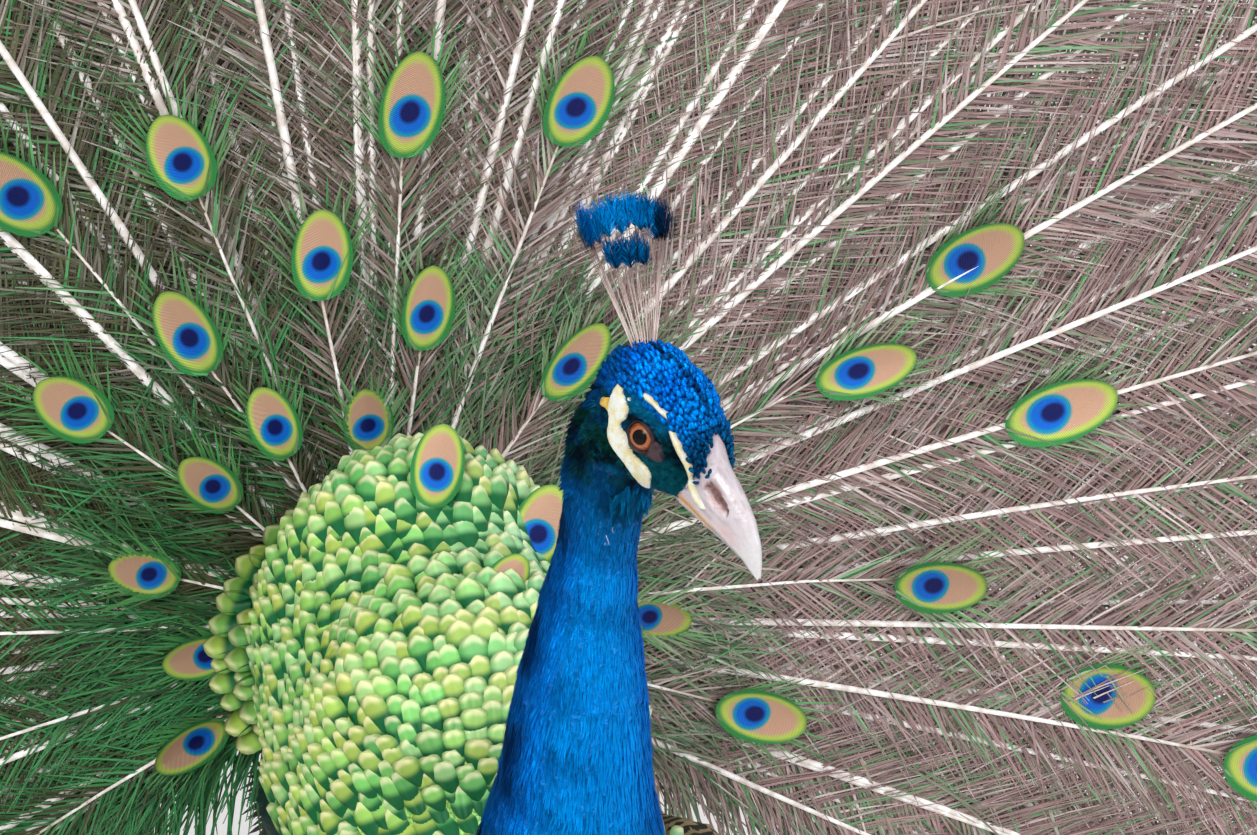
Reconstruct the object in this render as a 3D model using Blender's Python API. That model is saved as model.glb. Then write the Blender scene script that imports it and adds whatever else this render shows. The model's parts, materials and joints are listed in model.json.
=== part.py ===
"""An Indian peafowl cock, life size, standing in full display with its head turned to its left.

Metres, +Z up. The bird faces -Y and its right side is -X. Every solid reaches out to the tips
of the feathers, and neighbours keep a gap so that no two solids overlap.
"""

import math

import bmesh
import bpy
import numpy as np
from mathutils import Matrix, Vector

GAP = 0.0004  # left between any two solids that touch
MM = 0.001

# The head's place: between the eyes, turned to the bird's left and bowed.
HEAD_AT = Vector((0.018, -0.170, 0.730))
HEAD_TURN = 27.4
HEAD_BOW = 24.9
HEAD_ROLL = -6.4

# Eyes and bill, in the head's own frame: x forward, y left, z up, in millimetres.
EYE_AT = (0.2, 9.8, 0.3)
EYE_RADIUS = 7.0
EYE_LOOK = (0.20, 0.95, 0.20)  # the way the left eye faces
EYE_OPENING = (5.2, 6.6)  # radius of the gap between the lids, at the eyeball and outside
BILL_BASE = 14.0
BILL_TIP = 65.0
JAW_TIP = 58.0

# Skull with its feathers: balls of centre and radii, in the head's frame.
SKULL = (
    ((-12.0, 0.0, 4.5), (21.5, 18.6, 22.0)),  # hind crown
    ((-1.0, 0.0, 6.5), (20.0, 18.0, 19.5)),  # crown over the eyes
    ((9.5, 0.0, 4.6), (19.0, 16.5, 15.0)),  # forehead
    ((9.0, 0.0, -5.0), (22.0, 14.6, 11.6)),  # cheeks
    ((1.0, 0.0, -12.5), (21.0, 13.0, 11.0)),  # jaw
    ((-10.0, 0.0, -8.0), (19.0, 17.5, 15.0)),  # throat
)

# Crest: shafts rise from a small pad and end in little fans.
CREST_AT = (-23.5, 0.0, 20.0)
CREST_RAKE = 43.0  # degrees back from the head's own upright
CREST_RINGS = ((11, 1.0, 4.3), (3, 0.33, 3.6))  # feathers, share of the spread, half width of a fan
CREST_LENGTH = 50.5
CREST_SLANT = 5.0  # the feathers of the near right side are shorter by this, the others longer
CREST_SPREAD = (16.5, 19.5)  # half depth and half width of the ring of tips

# Neck: stations of x, y, height and radius, from the chest up into the head.
NECK = (
    (0.0, -0.070, 0.400, 0.0800),
    (0.0, -0.086, 0.450, 0.0640),
    (0.001, -0.098, 0.495, 0.0450),
    (0.0015, -0.106, 0.550, 0.0332),
    (0.0015, -0.116, 0.600, 0.0275),
    (0.0015, -0.127, 0.642, 0.0206),
    (0.0020, -0.136, 0.668, 0.0174),
    (0.0025, -0.142, 0.686, 0.0176),
    (0.0035, -0.1465, 0.703, 0.0188),
    (0.0058, -0.153, 0.719, 0.0204),
    (0.0105, -0.1600, 0.735, 0.0190),
)
NECK_TOP = (0.682, 25.0)  # height of the cut under the head, and its slope in degrees
NECK_FOOT = (0.500, 12.0)

# Trunk: balls of centre y, centre z and radii.
TRUNK = (
    (-0.070, 0.385, (0.088, 0.100, 0.108)),
    (0.035, 0.372, (0.103, 0.165, 0.104)),
    (0.158, 0.398, (0.074, 0.104, 0.080)),
)

# Shield of scale feathers on the back, which climbs to the foot of the train.
SHIELD = (
    (0.030, 0.440, (0.086, 0.110, 0.050), 14.0),
    (0.085, 0.457, (0.090, 0.088, 0.070), 24.0),
    (0.148, 0.490, (0.082, 0.052, 0.105), 12.0),
)

# Train: a dish of long feathers that rises behind the shield.
TRAIN_ROOT = Vector((0.0, 0.225, 0.462))
TRAIN_REACH = 1.15
TRAIN_SPREAD = 126.0  # from upright to the lowest feather on each side
TRAIN_LOBES = 39
TRAIN_LEAN = 0.06  # forward for each metre up
TRAIN_BOWL = 0.11  # forward at the rim
TRAIN_THICK = (0.024, 0.0012)

# Tail: twenty stiff feathers that prop the train from behind.
TAIL_ROOT = Vector((0.0, 0.245, 0.430))
TAIL_REACH = 0.43
TAIL_SPREAD = 88.0
TAIL_LOBES = 20
TAIL_THICK = (0.010, 0.0012)
TAIL_LEAN = 0.04

# Legs, given for the left side.
HIP = Vector((0.058, 0.004, 0.298))
HOCK = Vector((0.056, 0.066, 0.160))
ANKLE = Vector((0.058, 0.052, 0.018))
TOES = (("inner", -30.0, 52.0), ("middle", 2.0, 74.0), ("outer", 33.0, 56.0), ("hind", 168.0, 27.0))

LOOKS = {
    "blue": ((0.012, 0.085, 0.42, 1), 0.45, 0.35),
    "green": ((0.22, 0.36, 0.04, 1), 0.4, 0.35),
    "bronze": ((0.13, 0.12, 0.04, 1), 0.6, 0.2),
    "brown": ((0.10, 0.07, 0.045, 1), 0.7, 0.0),
    "dark_green": ((0.01, 0.035, 0.03, 1), 0.6, 0.2),
    "barred": ((0.42, 0.33, 0.20, 1), 0.75, 0.0),
    "chestnut": ((0.34, 0.13, 0.04, 1), 0.7, 0.0),
    "buff": ((0.40, 0.31, 0.20, 1), 0.85, 0.0),
    "down": ((0.50, 0.46, 0.42, 1), 0.9, 0.0),
    "horn": ((0.55, 0.47, 0.42, 1), 0.4, 0.0),
    "iris": ((0.10, 0.03, 0.012, 1), 0.05, 0.0),
    "leg": ((0.20, 0.16, 0.12, 1), 0.55, 0.0),
    "claw": ((0.05, 0.04, 0.03, 1), 0.35, 0.0),
}


def clear_scene():
    for old in list(bpy.data.objects):
        bpy.data.objects.remove(old, do_unlink=True)


def material(name):
    """The node's own Principled material, from the table of looks."""
    colour, roughness, metallic = LOOKS[name]
    made = bpy.data.materials.new(name)
    made.use_nodes = True
    shader = made.node_tree.nodes["Principled BSDF"]
    shader.inputs["Base Color"].default_value = colour
    shader.inputs["Roughness"].default_value = roughness
    shader.inputs["Metallic"].default_value = metallic
    return made


def head_frame():
    """The matrix from head millimetres to the world."""
    turn = Matrix.Rotation(math.radians(HEAD_TURN - 90.0), 4, "Z")
    bow = Matrix.Rotation(math.radians(HEAD_BOW), 4, "Y")
    roll = Matrix.Rotation(math.radians(HEAD_ROLL), 4, "X")
    return Matrix.Translation(HEAD_AT) @ turn @ bow @ roll @ Matrix.Diagonal((MM, MM, MM, 1.0))


HEAD = head_frame()


def across_head(point, side):
    """A point of the head's own frame, for the left side or for the right."""
    return Vector((point[0], point[1] * side, point[2]))


def add_ball(clay, centre, radii, pitch=0.0, frame=None, cuts=3):
    """Adds an ellipsoid to the clay. Pitch turns it about X, rear end up."""
    place = Matrix.Translation(centre) @ Matrix.Rotation(math.radians(pitch), 4, "X")
    place = (frame or Matrix()) @ place @ Matrix.Diagonal((*radii, 1.0))
    bmesh.ops.create_icosphere(clay, subdivisions=cuts, radius=1.0, matrix=place)


def close_rings(clay, rings):
    """Bridges rings of points of one length into a closed skin with capped ends."""
    rows = [[clay.verts.new(point) for point in ring] for ring in rings]
    count = len(rows[0])
    for low, high in zip(rows, rows[1:]):
        for i in range(count):
            j = (i + 1) % count
            clay.faces.new((low[i], low[j], high[j], high[i]))
    clay.faces.new(rows[0][::-1])
    clay.faces.new(rows[-1])


def add_limb(clay, stations, sides=14):
    """Adds a tube through (centre, radius) stations."""
    centres = [Vector(centre) for centre, _ in stations]
    rings = []
    for i, (_, radius) in enumerate(stations):
        along = (centres[min(i + 1, len(centres) - 1)] - centres[max(i - 1, 0)]).normalized()
        side = along.cross(Vector((0.0, 0.0, 1.0)))
        if side.length < 0.2:
            side = along.cross(Vector((0.0, 1.0, 0.0)))
        side.normalize()
        other = side.cross(along)
        angles = [2 * math.pi * k / sides for k in range(sides)]
        rings.append([centres[i] + (side * math.cos(a) + other * math.sin(a)) * radius for a in angles])
    close_rings(clay, rings)


def solid(name, clay, look=None):
    """Makes the clay an object. One without a look is a helper, left out of the model."""
    bmesh.ops.recalc_face_normals(clay, faces=clay.faces)
    mesh = bpy.data.meshes.new(name)
    clay.to_mesh(mesh)
    clay.free()
    piece = bpy.data.objects.new(name, mesh)
    bpy.context.scene.collection.objects.link(piece)
    if look:
        finish(piece, look)
    else:
        piece.hide_render = True
        piece.display_type = "WIRE"
    return piece


def finish(piece, look):
    piece.hide_render = False
    piece.display_type = "TEXTURED"
    piece.data.materials.clear()
    piece.data.materials.append(material(look))
    piece.data.shade_smooth()
    piece.data.set_sharp_from_angle(angle=math.radians(50.0))


def settle(piece):
    """Replaces the object's mesh with the result of its modifiers."""
    bpy.context.view_layer.update()
    graph = bpy.context.evaluated_depsgraph_get()
    mesh = bpy.data.meshes.new_from_object(piece.evaluated_get(graph))
    piece.modifiers.clear()
    piece.data = mesh
    return piece


def fuse(piece, voxel, smooth, triangles):
    """Melts the clay of an object into one closed skin of about the given triangles."""
    remesh = piece.modifiers.new("Melt", "REMESH")
    remesh.mode = "VOXEL"
    remesh.voxel_size = voxel
    soften = piece.modifiers.new("Soften", "SMOOTH")
    soften.factor = 0.5
    soften.iterations = smooth
    settle(piece)
    piece.data.calc_loop_triangles()
    thin = piece.modifiers.new("Thin", "DECIMATE")
    thin.ratio = min(1.0, triangles / len(piece.data.loop_triangles))
    thin.use_collapse_triangulate = True
    return settle(piece)


def grown(piece):
    """A helper copy of a solid, larger by the gap all over."""
    copy = bpy.data.objects.new("Room_" + piece.name, piece.data.copy())
    bpy.context.scene.collection.objects.link(copy)
    copy.hide_render = True
    copy.display_type = "WIRE"
    swell = copy.modifiers.new("Swell", "DISPLACE")
    swell.strength = GAP
    swell.mid_level = 0.0
    return settle(copy)


def combine(piece, other, operation):
    cut = piece.modifiers.new(operation.title(), "BOOLEAN")
    cut.operation = operation
    cut.object = other
    return settle(piece)


def carve(piece, *neighbours):
    """Cuts each neighbour's room out of the piece, and keeps the largest body that is left."""
    for neighbour in neighbours:
        room = grown(neighbour)
        combine(piece, room, "DIFFERENCE")
        bpy.data.objects.remove(room, do_unlink=True)
    return keep_largest(piece)


def keep_largest(piece):
    """Deletes crumbs: every loose body but the one with the most volume."""
    clay = bmesh.new()
    clay.from_mesh(piece.data)
    unseen = set(clay.verts)
    bodies = []
    while unseen:
        edge = [unseen.pop()]
        body = set(edge)
        while edge:
            for link in edge.pop().link_edges:
                for vert in link.verts:
                    if vert in unseen:
                        unseen.discard(vert)
                        body.add(vert)
                        edge.append(vert)
        bodies.append(body)
    bodies.sort(key=lambda body: -span(body))
    crumbs = [vert for body in bodies[1:] for vert in body]
    bmesh.ops.delete(clay, geom=crumbs, context="VERTS")
    clay.to_mesh(piece.data)
    clay.free()
    return piece


def span(body):
    points = np.array([vert.co for vert in body])
    return float(np.prod(np.ptp(points, axis=0) + GAP))


def copy_of(piece, name, look):
    twin = bpy.data.objects.new(name, piece.data.copy())
    bpy.context.scene.collection.objects.link(twin)
    finish(twin, look)
    return twin


def half_space(name, height, slope, above, y_at, gap=0.0):
    """A large box whose one face is a plane at the height over y_at, sloping up to the rear."""
    size = 1.0
    clay = bmesh.new()
    offset = size / 2 + gap / 2 if above else -size / 2 - gap / 2
    place = Matrix.Translation((0.0, y_at, height))
    place = place @ Matrix.Rotation(math.radians(slope), 4, "X") @ Matrix.Translation((0.0, 0.0, offset))
    bmesh.ops.create_cube(clay, size=size, matrix=place)
    return solid(name, clay)


def neck_stations():
    return [((x, y, z), radius) for x, y, z, radius in NECK]


def cut_planes():
    """Half spaces over and under each cut, a gap apart."""
    planes = {}
    for name, (height, slope) in (("top", NECK_TOP), ("foot", NECK_FOOT)):
        y_at = float(np.interp(height, [row[2] for row in NECK], [row[1] for row in NECK]))
        planes[name, "over"] = half_space(name + "_over", height, slope, True, y_at, GAP)
        planes[name, "under"] = half_space(name + "_under", height, slope, False, y_at, GAP)
    return planes


def make_head(planes):
    """Skull, cheeks, forehead and throat, with the top of the neck."""
    clay = bmesh.new()
    for centre, radii in SKULL:
        add_ball(clay, centre, radii, frame=HEAD)
    add_limb(clay, neck_stations()[-6:])
    head = solid("head", clay)
    fuse(head, 0.0014, 4, 900)
    combine(head, planes["top", "over"], "INTERSECT")
    finish(head, "blue")
    return head


def bill_profile(x, upper):
    """(lower edge, ridge, half width) of one half of the bill at a distance forward, in mm."""
    edge = float(np.interp(x, (14.0, 30.0, 45.0, 57.0, 65.0), (-10.0, -10.8, -12.2, -14.2, -18.2)))
    if upper:
        ridge = float(np.interp(x, (14.0, 22.0, 32.0, 42.0, 51.0, 58.0, 62.5, 65.0),
                                (12.5, 10.3, 7.6, 4.2, -0.4, -6.4, -12.4, -17.2)))
        half = float(np.interp(x, (14.0, 24.0, 38.0, 50.0, 60.0, 65.0), (7.6, 9.3, 7.6, 5.4, 3.0, 1.2)))
        return edge, ridge, half
    keel = float(np.interp(x, (14.0, 32.0, 48.0, 58.0), (-16.8, -17.2, -16.6, -15.4)))
    half = float(np.interp(x, (14.0, 24.0, 48.0, 58.0), (6.6, 8.2, 4.6, 0.8)))
    return edge - 0.5, keel, half


def make_bill(name, upper):
    """A lofted half of the bill: the upper arches over, the lower is a shallow keel."""
    clay = bmesh.new()
    tip = BILL_TIP if upper else JAW_TIP
    stops = [BILL_BASE + (tip - BILL_BASE) * math.sin(math.pi / 2 * k / 9) for k in range(10)]
    rings = []
    for x in stops:
        edge, crown, half = bill_profile(x, upper)
        ring = [Vector((x, half, edge))]
        for k in range(1, 8):
            a = math.pi * k / 8
            ring.append(Vector((x, half * math.cos(a), edge + (crown - edge) * math.sin(a) ** 0.85)))
        ring.append(Vector((x, -half, edge)))
        rings.append([HEAD @ point for point in ring])
    close_rings(clay, rings)
    return solid(name, clay, "horn")


def make_eye(name, side):
    clay = bmesh.new()
    add_ball(clay, across_head(EYE_AT, side), (EYE_RADIUS,) * 3, frame=HEAD, cuts=2)
    return solid(name, clay, "iris")


def open_eye(head, side):
    """Cuts the gap between the lids, so that the eyeball shows."""
    clay = bmesh.new()
    look = across_head(EYE_LOOK, side).normalized()
    inner, outer = EYE_OPENING
    floor, depth = 4.6, 8.0
    middle = across_head(EYE_AT, side) + look * (floor + depth / 2)
    place = HEAD @ Matrix.Translation(middle) @ look.to_track_quat("Z", "Y").to_matrix().to_4x4()
    bmesh.ops.create_cone(clay, cap_ends=True, segments=20, radius1=inner, radius2=outer,
                          depth=depth, matrix=place)
    opening = solid("Opening", clay)
    combine(head, opening, "DIFFERENCE")
    bpy.data.objects.remove(opening, do_unlink=True)


def crest_feather(around, share, fan):
    """One bare shaft with a little fan on its end, as a thin blade of diamond section."""
    rake = Matrix.Rotation(math.radians(-CREST_RAKE), 4, "Y")
    base = Vector(CREST_AT)
    out = Vector((math.cos(around), math.sin(around), 0.0))
    side = Vector((-math.sin(around), math.cos(around), 0.0))
    deep, wide = CREST_SPREAD
    length = CREST_LENGTH - CREST_SLANT * share * (out.x - out.y) / math.sqrt(2)
    tip = Vector((deep * share * out.x, wide * share * out.y, length))
    foot = Vector((3.2 * share * out.x, 4.6 * share * out.y, 0.0))
    rings = []
    for t, half in ((0.0, 0.5), (0.72, 0.5), (0.82, 0.65 * fan), (0.92, fan), (1.0, 0.5 * fan)):
        centre = foot.lerp(tip, t) + out * 2.5 * t * (1 - t)
        across, thick = side * half, out * (0.6 if t > 0.78 else 0.45)
        ring = (centre + across, centre + thick, centre - across, centre - thick)
        rings.append([HEAD @ (base + rake @ point) for point in ring])
    clay = bmesh.new()
    close_rings(clay, rings)
    return solid("Crest_feather", clay)


def make_crest(head):
    """Bare shafts that spread from a pad on the crown to a ring of little fans."""
    pad = bmesh.new()
    add_ball(pad, CREST_AT, (6.0, 7.2, 6.0), frame=HEAD, cuts=1)
    crest = solid("crest", pad)
    for count, share, fan in CREST_RINGS:
        for k in range(count):
            feather = crest_feather(2 * math.pi * (k + 0.5) / count, share, fan)
            combine(crest, feather, "UNION")
            bpy.data.objects.remove(feather, do_unlink=True)
    carve(crest, head)
    finish(crest, "blue")
    return crest


def make_body():
    """Trunk and neck in one piece of clay, ready to be parted."""
    clay = bmesh.new()
    for y, z, radii in TRUNK:
        add_ball(clay, (0.0, y, z), radii)
    add_limb(clay, neck_stations(), sides=20)
    body = solid("Body", clay)
    return fuse(body, 0.0045, 8, 820)


def make_shield(trunk):
    clay = bmesh.new()
    for y, z, radii, pitch in SHIELD:
        add_ball(clay, (0.0, y, z), radii, pitch)
    shield = solid("shield", clay)
    fuse(shield, 0.004, 8, 330)
    carve(shield, trunk)
    finish(shield, "green")
    return shield


def rim_of(grid):
    """The grid's outer loop of points, once round."""
    ends = [column[-1] for column in grid[1:-1]]
    return grid[0] + ends + grid[-1][::-1] + [column[0] for column in grid[-2:0:-1]]


def feather_fan(name, look, root, reach, spread, lobes, thick, start, sweep, rows, steps=2,
                basis=((1, 0, 0), (0, 0, 1), (0, -1, 0)), notch=0.05, ripple=0.0):
    """A closed dish of feathers. Reach and sweep are functions of the angle and radius."""
    across, up, normal = (Vector(axis) for axis in basis)
    low, high = (math.radians(angle) for angle in spread)
    count = lobes * steps
    sides = {1: [], -1: []}
    for i in range(count + 1):
        angle = low + (high - low) * i / count
        within = (i % steps) / steps
        dent = (2 * within - 1) ** 2
        rim = reach(angle) * (1 - notch * dent)
        for face in sides:
            column = []
            for row in rows:
                r = start + (rim - start) * row
                point = root + across * (r * math.sin(angle)) + up * (r * math.cos(angle))
                depth = sweep(angle, r) - ripple * dent * row
                half = (thick[1] + (thick[0] - thick[1]) * (1 - row) ** 5) / 2
                column.append(point + normal * (depth + face * half))
            sides[face].append(column)
    clay = bmesh.new()
    grids = {f: [[clay.verts.new(p) for p in column] for column in cols] for f, cols in sides.items()}
    for face, grid in grids.items():
        for left, right in zip(grid, grid[1:]):
            for j in range(len(rows) - 1):
                clay.faces.new((left[j], right[j], right[j + 1], left[j + 1]))
    front, back = grids[1], grids[-1]
    ahead, behind = rim_of(front), rim_of(back)
    for k in range(len(ahead)):
        n = (k + 1) % len(ahead)
        clay.faces.new((ahead[k], ahead[n], behind[n], behind[k]))
    bmesh.ops.triangulate(clay, faces=clay.faces)
    return solid(name, clay, look)


def train_reach(angle):
    """The side feathers are shorter, so that they clear the ground."""
    return TRAIN_REACH * (1.0 - 0.42 * (abs(math.degrees(angle)) / TRAIN_SPREAD) ** 4)


def train_sweep(angle, r):
    """How far forward the dish stands at a radius."""
    return TRAIN_LEAN * r * max(math.cos(angle), 0.0) + TRAIN_BOWL * (r / TRAIN_REACH) ** 2


def make_train(*neighbours):
    train = feather_fan("train", "bronze", TRAIN_ROOT, train_reach, (-TRAIN_SPREAD, TRAIN_SPREAD),
                        TRAIN_LOBES, TRAIN_THICK, 0.035, train_sweep, (0.0, 0.16, 0.5, 1.0), steps=3,
                        ripple=0.006)
    carve(train, *neighbours)
    finish(train, "bronze")
    return train


def make_tail(*neighbours):
    tail = feather_fan("tail", "brown", TAIL_ROOT, lambda angle: TAIL_REACH * (1 - 0.1 * abs(angle)),
                       (-TAIL_SPREAD, TAIL_SPREAD), TAIL_LOBES, TAIL_THICK, 0.02,
                       lambda angle, r: TAIL_LEAN * r, (0.0, 0.35, 1.0), notch=0.04, ripple=0.003)
    carve(tail, *neighbours)
    finish(tail, "brown")
    return tail


def make_wing(side, *neighbours):
    """The folded wing, laid along the flank and let down a little at the rear."""
    clay = bmesh.new()
    name = "wing_left" if side > 0 else "wing_right"
    add_ball(clay, (0.090 * side, -0.025, 0.392), (0.025, 0.062, 0.060), -14.0)
    add_ball(clay, (0.100 * side, 0.040, 0.368), (0.026, 0.105, 0.062), -20.0)
    add_ball(clay, (0.100 * side, 0.108, 0.335), (0.021, 0.090, 0.040), -24.0)
    wing = solid(name, clay)
    fuse(wing, 0.004, 5, 160)
    carve(wing, *neighbours)
    finish(wing, "barred")
    return wing


def make_primaries(side, *neighbours):
    """The rust-coloured flight feathers that hang below and behind the folded wing."""
    name = "primaries_left" if side > 0 else "primaries_right"
    root = Vector((0.106 * side, 0.070, 0.345))
    basis = ((0, 1, 0), (0.0995 * side, 0, -0.995), (side, 0, 0.1))
    flight = feather_fan(name, "chestnut", root, lambda angle: 0.15 + 0.13 * math.sin(angle), (24.0, 66.0),
                         7, (0.012, 0.0014), 0.04, lambda angle, r: -0.05 * r * math.sin(angle), (0.0, 1.0),
                         basis=basis, notch=0.12)
    carve(flight, *neighbours)
    finish(flight, "chestnut")
    return flight


def mirrored(point, side):
    """The point for the left side, or its mirror image for the right."""
    return Vector((point[0] * side, point[1], point[2]))


def make_thigh(side, *neighbours):
    clay = bmesh.new()
    name = "thigh_left" if side > 0 else "thigh_right"
    add_ball(clay, mirrored(HIP, side), (0.036, 0.062, 0.060), -15.0)
    knee = ((0.062, 0.000, 0.290), (0.063, 0.014, 0.255), (0.060, 0.042, 0.208), (0.056, 0.062, 0.172))
    add_limb(clay, [(mirrored(p, side), r) for p, r in zip(knee, (0.038, 0.040, 0.028, 0.0135))])
    thigh = solid(name, clay)
    fuse(thigh, 0.0035, 6, 170)
    carve(thigh, *neighbours)
    finish(thigh, "buff")
    return thigh


def make_shank(side, thigh):
    """The bare, scaled leg from the hock to the toes."""
    name = "shank_left" if side > 0 else "shank_right"
    clay = bmesh.new()
    hock, ankle = mirrored(HOCK, side), mirrored(ANKLE, side)
    stops = ((-0.05, 0.0085), (0.03, 0.0095), (0.12, 0.0072), (0.5, 0.0060), (0.85, 0.0062), (1.0, 0.0080))
    add_limb(clay, [(hock.lerp(ankle, t), radius) for t, radius in stops], sides=10)
    shank = solid(name, clay)
    carve(shank, thigh)
    finish(shank, "leg")
    return shank


def toe_line(side, angle, length):
    """(start, direction) of a toe on the ground, from the foot's centre."""
    turn = math.radians(angle)
    return Vector((math.sin(turn) * side, -math.cos(turn), 0.0)) * length * MM


def make_foot(side, shank):
    name = "foot_left" if side > 0 else "foot_right"
    clay = bmesh.new()
    ankle = mirrored(ANKLE, side)
    ground = Vector((ankle.x, ankle.y, 0.0065))
    add_ball(clay, (ankle.x, ankle.y, 0.0125), (0.0110, 0.0125, 0.0125))
    for _, angle, length in TOES:
        way = toe_line(side, angle, length)
        stops = [(ground + way * t + Vector((0.0, 0.0, 0.002 * math.sin(math.pi * 3 * t) - 0.0015 * t)), r)
                 for t, r in ((0.05, 0.0070), (0.25, 0.0056), (0.4, 0.0062), (0.55, 0.0050), (0.7, 0.0055),
                              (0.86, 0.0044), (0.97, 0.0036))]
        add_limb(clay, stops, sides=10)
    foot = solid(name, clay)
    fuse(foot, 0.0013, 2, 210)
    floor = bmesh.new()
    bmesh.ops.create_cube(floor, size=0.4, matrix=Matrix.Translation((ankle.x, ankle.y, 0.2)))
    floor = solid("Floor", floor)
    combine(foot, floor, "INTERSECT")
    bpy.data.objects.remove(floor, do_unlink=True)
    carve(foot, shank)
    finish(foot, "leg")
    return foot


def make_claw(side, toe, angle, length, foot):
    """A short curved claw on a toe's end, just clear of the ground at its tip."""
    name = "claw_" + toe + ("_left" if side > 0 else "_right")
    ankle = mirrored(ANKLE, side)
    ground = Vector((ankle.x, ankle.y, 0.0))
    unit = toe_line(side, angle, 1.0).normalized()
    end = ground + unit * (length * MM)
    drops = ((-3.0, 5.0, 2.6), (2.0, 6.1, 2.4), (7.5, 4.7, 1.6), (11.5, 1.5, 0.6))
    clay = bmesh.new()
    stops = [(end + unit * (a * MM) + Vector((0.0, 0.0, h * MM)), r * MM) for a, h, r in drops]
    add_limb(clay, stops, sides=6)
    claw = solid(name, clay)
    carve(claw, foot)
    finish(claw, "claw")
    return claw


def make_spur(side, shank):
    name = "spur_left" if side > 0 else "spur_right"
    root = mirrored(HOCK, side).lerp(mirrored(ANKLE, side), 0.66)
    clay = bmesh.new()
    points = ((0.0, 0.0, 3.8), (9.0, 0.5, 3.4), (16.0, 2.5, 2.3), (23.0, 6.5, 0.7))
    add_limb(clay, [(root + Vector((-0.3 * a * side, a, h)) * MM, r * MM) for a, h, r in points], sides=8)
    spur = solid(name, clay)
    carve(spur, shank)
    finish(spur, "claw")
    return spur


def make_vent(*neighbours):
    """The pale fluff under the tail."""
    clay = bmesh.new()
    add_ball(clay, (0.0, 0.232, 0.352), (0.060, 0.058, 0.062), -20.0)
    add_ball(clay, (0.0, 0.190, 0.315), (0.056, 0.070, 0.045), -15.0)
    vent = solid("vent", clay)
    fuse(vent, 0.004, 5, 120)
    carve(vent, *neighbours)
    finish(vent, "down")
    return vent


def stand_on_origin():
    """Moves every piece so that the model's lowest level is zero and its box is centred."""
    pieces = [piece for piece in bpy.context.scene.objects if not piece.hide_render]
    points = [np.array([piece.matrix_world @ vert.co for vert in piece.data.vertices]) for piece in pieces]
    points = np.vstack(points)
    low, high = points.min(axis=0), points.max(axis=0)
    shift = Vector((-(low[0] + high[0]) / 2, -(low[1] + high[1]) / 2, -low[2]))
    for piece in pieces:
        piece.data.transform(Matrix.Translation(shift))
    print("moved by", [round(value, 5) for value in shift])


def main():
    clear_scene()
    planes = cut_planes()
    head = make_head(planes)
    upper, lower = make_bill("bill_upper", True), make_bill("bill_lower", False)
    eyes = [make_eye("eye_left", 1), make_eye("eye_right", -1)]
    open_eye(head, 1)
    open_eye(head, -1)
    carve(head, upper, lower, *eyes)
    finish(head, "blue")
    make_crest(head)

    body = make_body()
    neck = combine(copy_of(body, "neck", "blue"), planes["top", "under"], "INTERSECT")
    combine(neck, planes["foot", "over"], "INTERSECT")
    finish(neck, "blue")
    trunk = combine(copy_of(body, "trunk", "dark_green"), planes["foot", "under"], "INTERSECT")
    finish(trunk, "dark_green")

    shield = make_shield(trunk)
    tail = make_tail(trunk)
    make_train(trunk, shield, tail)
    make_vent(trunk, tail)
    for side in (1, -1):
        thigh = make_thigh(side, trunk)
        wing = make_wing(side, trunk, shield, thigh)
        make_primaries(side, trunk, thigh, wing)
        shank = make_shank(side, thigh)
        foot = make_foot(side, shank)
        for toe, angle, length in TOES:
            make_claw(side, toe, angle, length, foot)
        make_spur(side, shank)

    for piece in list(bpy.context.scene.objects):
        if piece.hide_render:
            bpy.data.objects.remove(piece, do_unlink=True)
    stand_on_origin()


main()
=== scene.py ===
# %% [markdown]
# # A peafowl cock in full display, life size
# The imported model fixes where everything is. This script dresses it: one skin under the plumage,
# thousands of small feathers planted on it, a fan of long train feathers with eye spots, and the
# bare face, bill, eyes and legs. Lengths are metres unless a name says mm.

import json
import math

import bmesh
import bpy
import numpy as np
from mathutils import Matrix, Vector
from mathutils.bvhtree import BVHTree

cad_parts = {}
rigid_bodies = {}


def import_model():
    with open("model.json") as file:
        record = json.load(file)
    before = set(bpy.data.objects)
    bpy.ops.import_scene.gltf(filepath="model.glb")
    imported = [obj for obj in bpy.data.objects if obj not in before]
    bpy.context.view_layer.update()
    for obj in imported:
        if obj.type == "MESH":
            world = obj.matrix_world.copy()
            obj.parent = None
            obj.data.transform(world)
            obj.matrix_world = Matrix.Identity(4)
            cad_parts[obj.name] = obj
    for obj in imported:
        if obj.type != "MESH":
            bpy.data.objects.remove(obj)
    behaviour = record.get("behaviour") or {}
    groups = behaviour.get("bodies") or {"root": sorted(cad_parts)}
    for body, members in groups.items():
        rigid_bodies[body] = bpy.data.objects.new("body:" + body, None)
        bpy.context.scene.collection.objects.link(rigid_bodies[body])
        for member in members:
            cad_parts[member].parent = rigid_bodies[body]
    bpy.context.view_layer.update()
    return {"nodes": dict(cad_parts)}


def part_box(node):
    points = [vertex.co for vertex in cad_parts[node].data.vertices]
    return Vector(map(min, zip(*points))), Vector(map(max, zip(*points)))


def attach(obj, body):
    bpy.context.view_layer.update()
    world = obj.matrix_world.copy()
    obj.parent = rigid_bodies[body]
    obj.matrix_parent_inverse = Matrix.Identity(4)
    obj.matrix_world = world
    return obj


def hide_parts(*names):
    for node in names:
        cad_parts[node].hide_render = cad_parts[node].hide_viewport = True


for old in list(bpy.data.objects):
    bpy.data.objects.remove(old, do_unlink=True)
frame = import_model()
MM = 0.001

# %% [markdown]
# ## The head's own frame
# A face is easiest to describe looking along its own bill: x forward, y to the bird's left and
# z up, in millimetres from the point between the eyes. The model's eye tells where that frame
# stands, so a change of the model's place carries the whole face with it.

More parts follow.
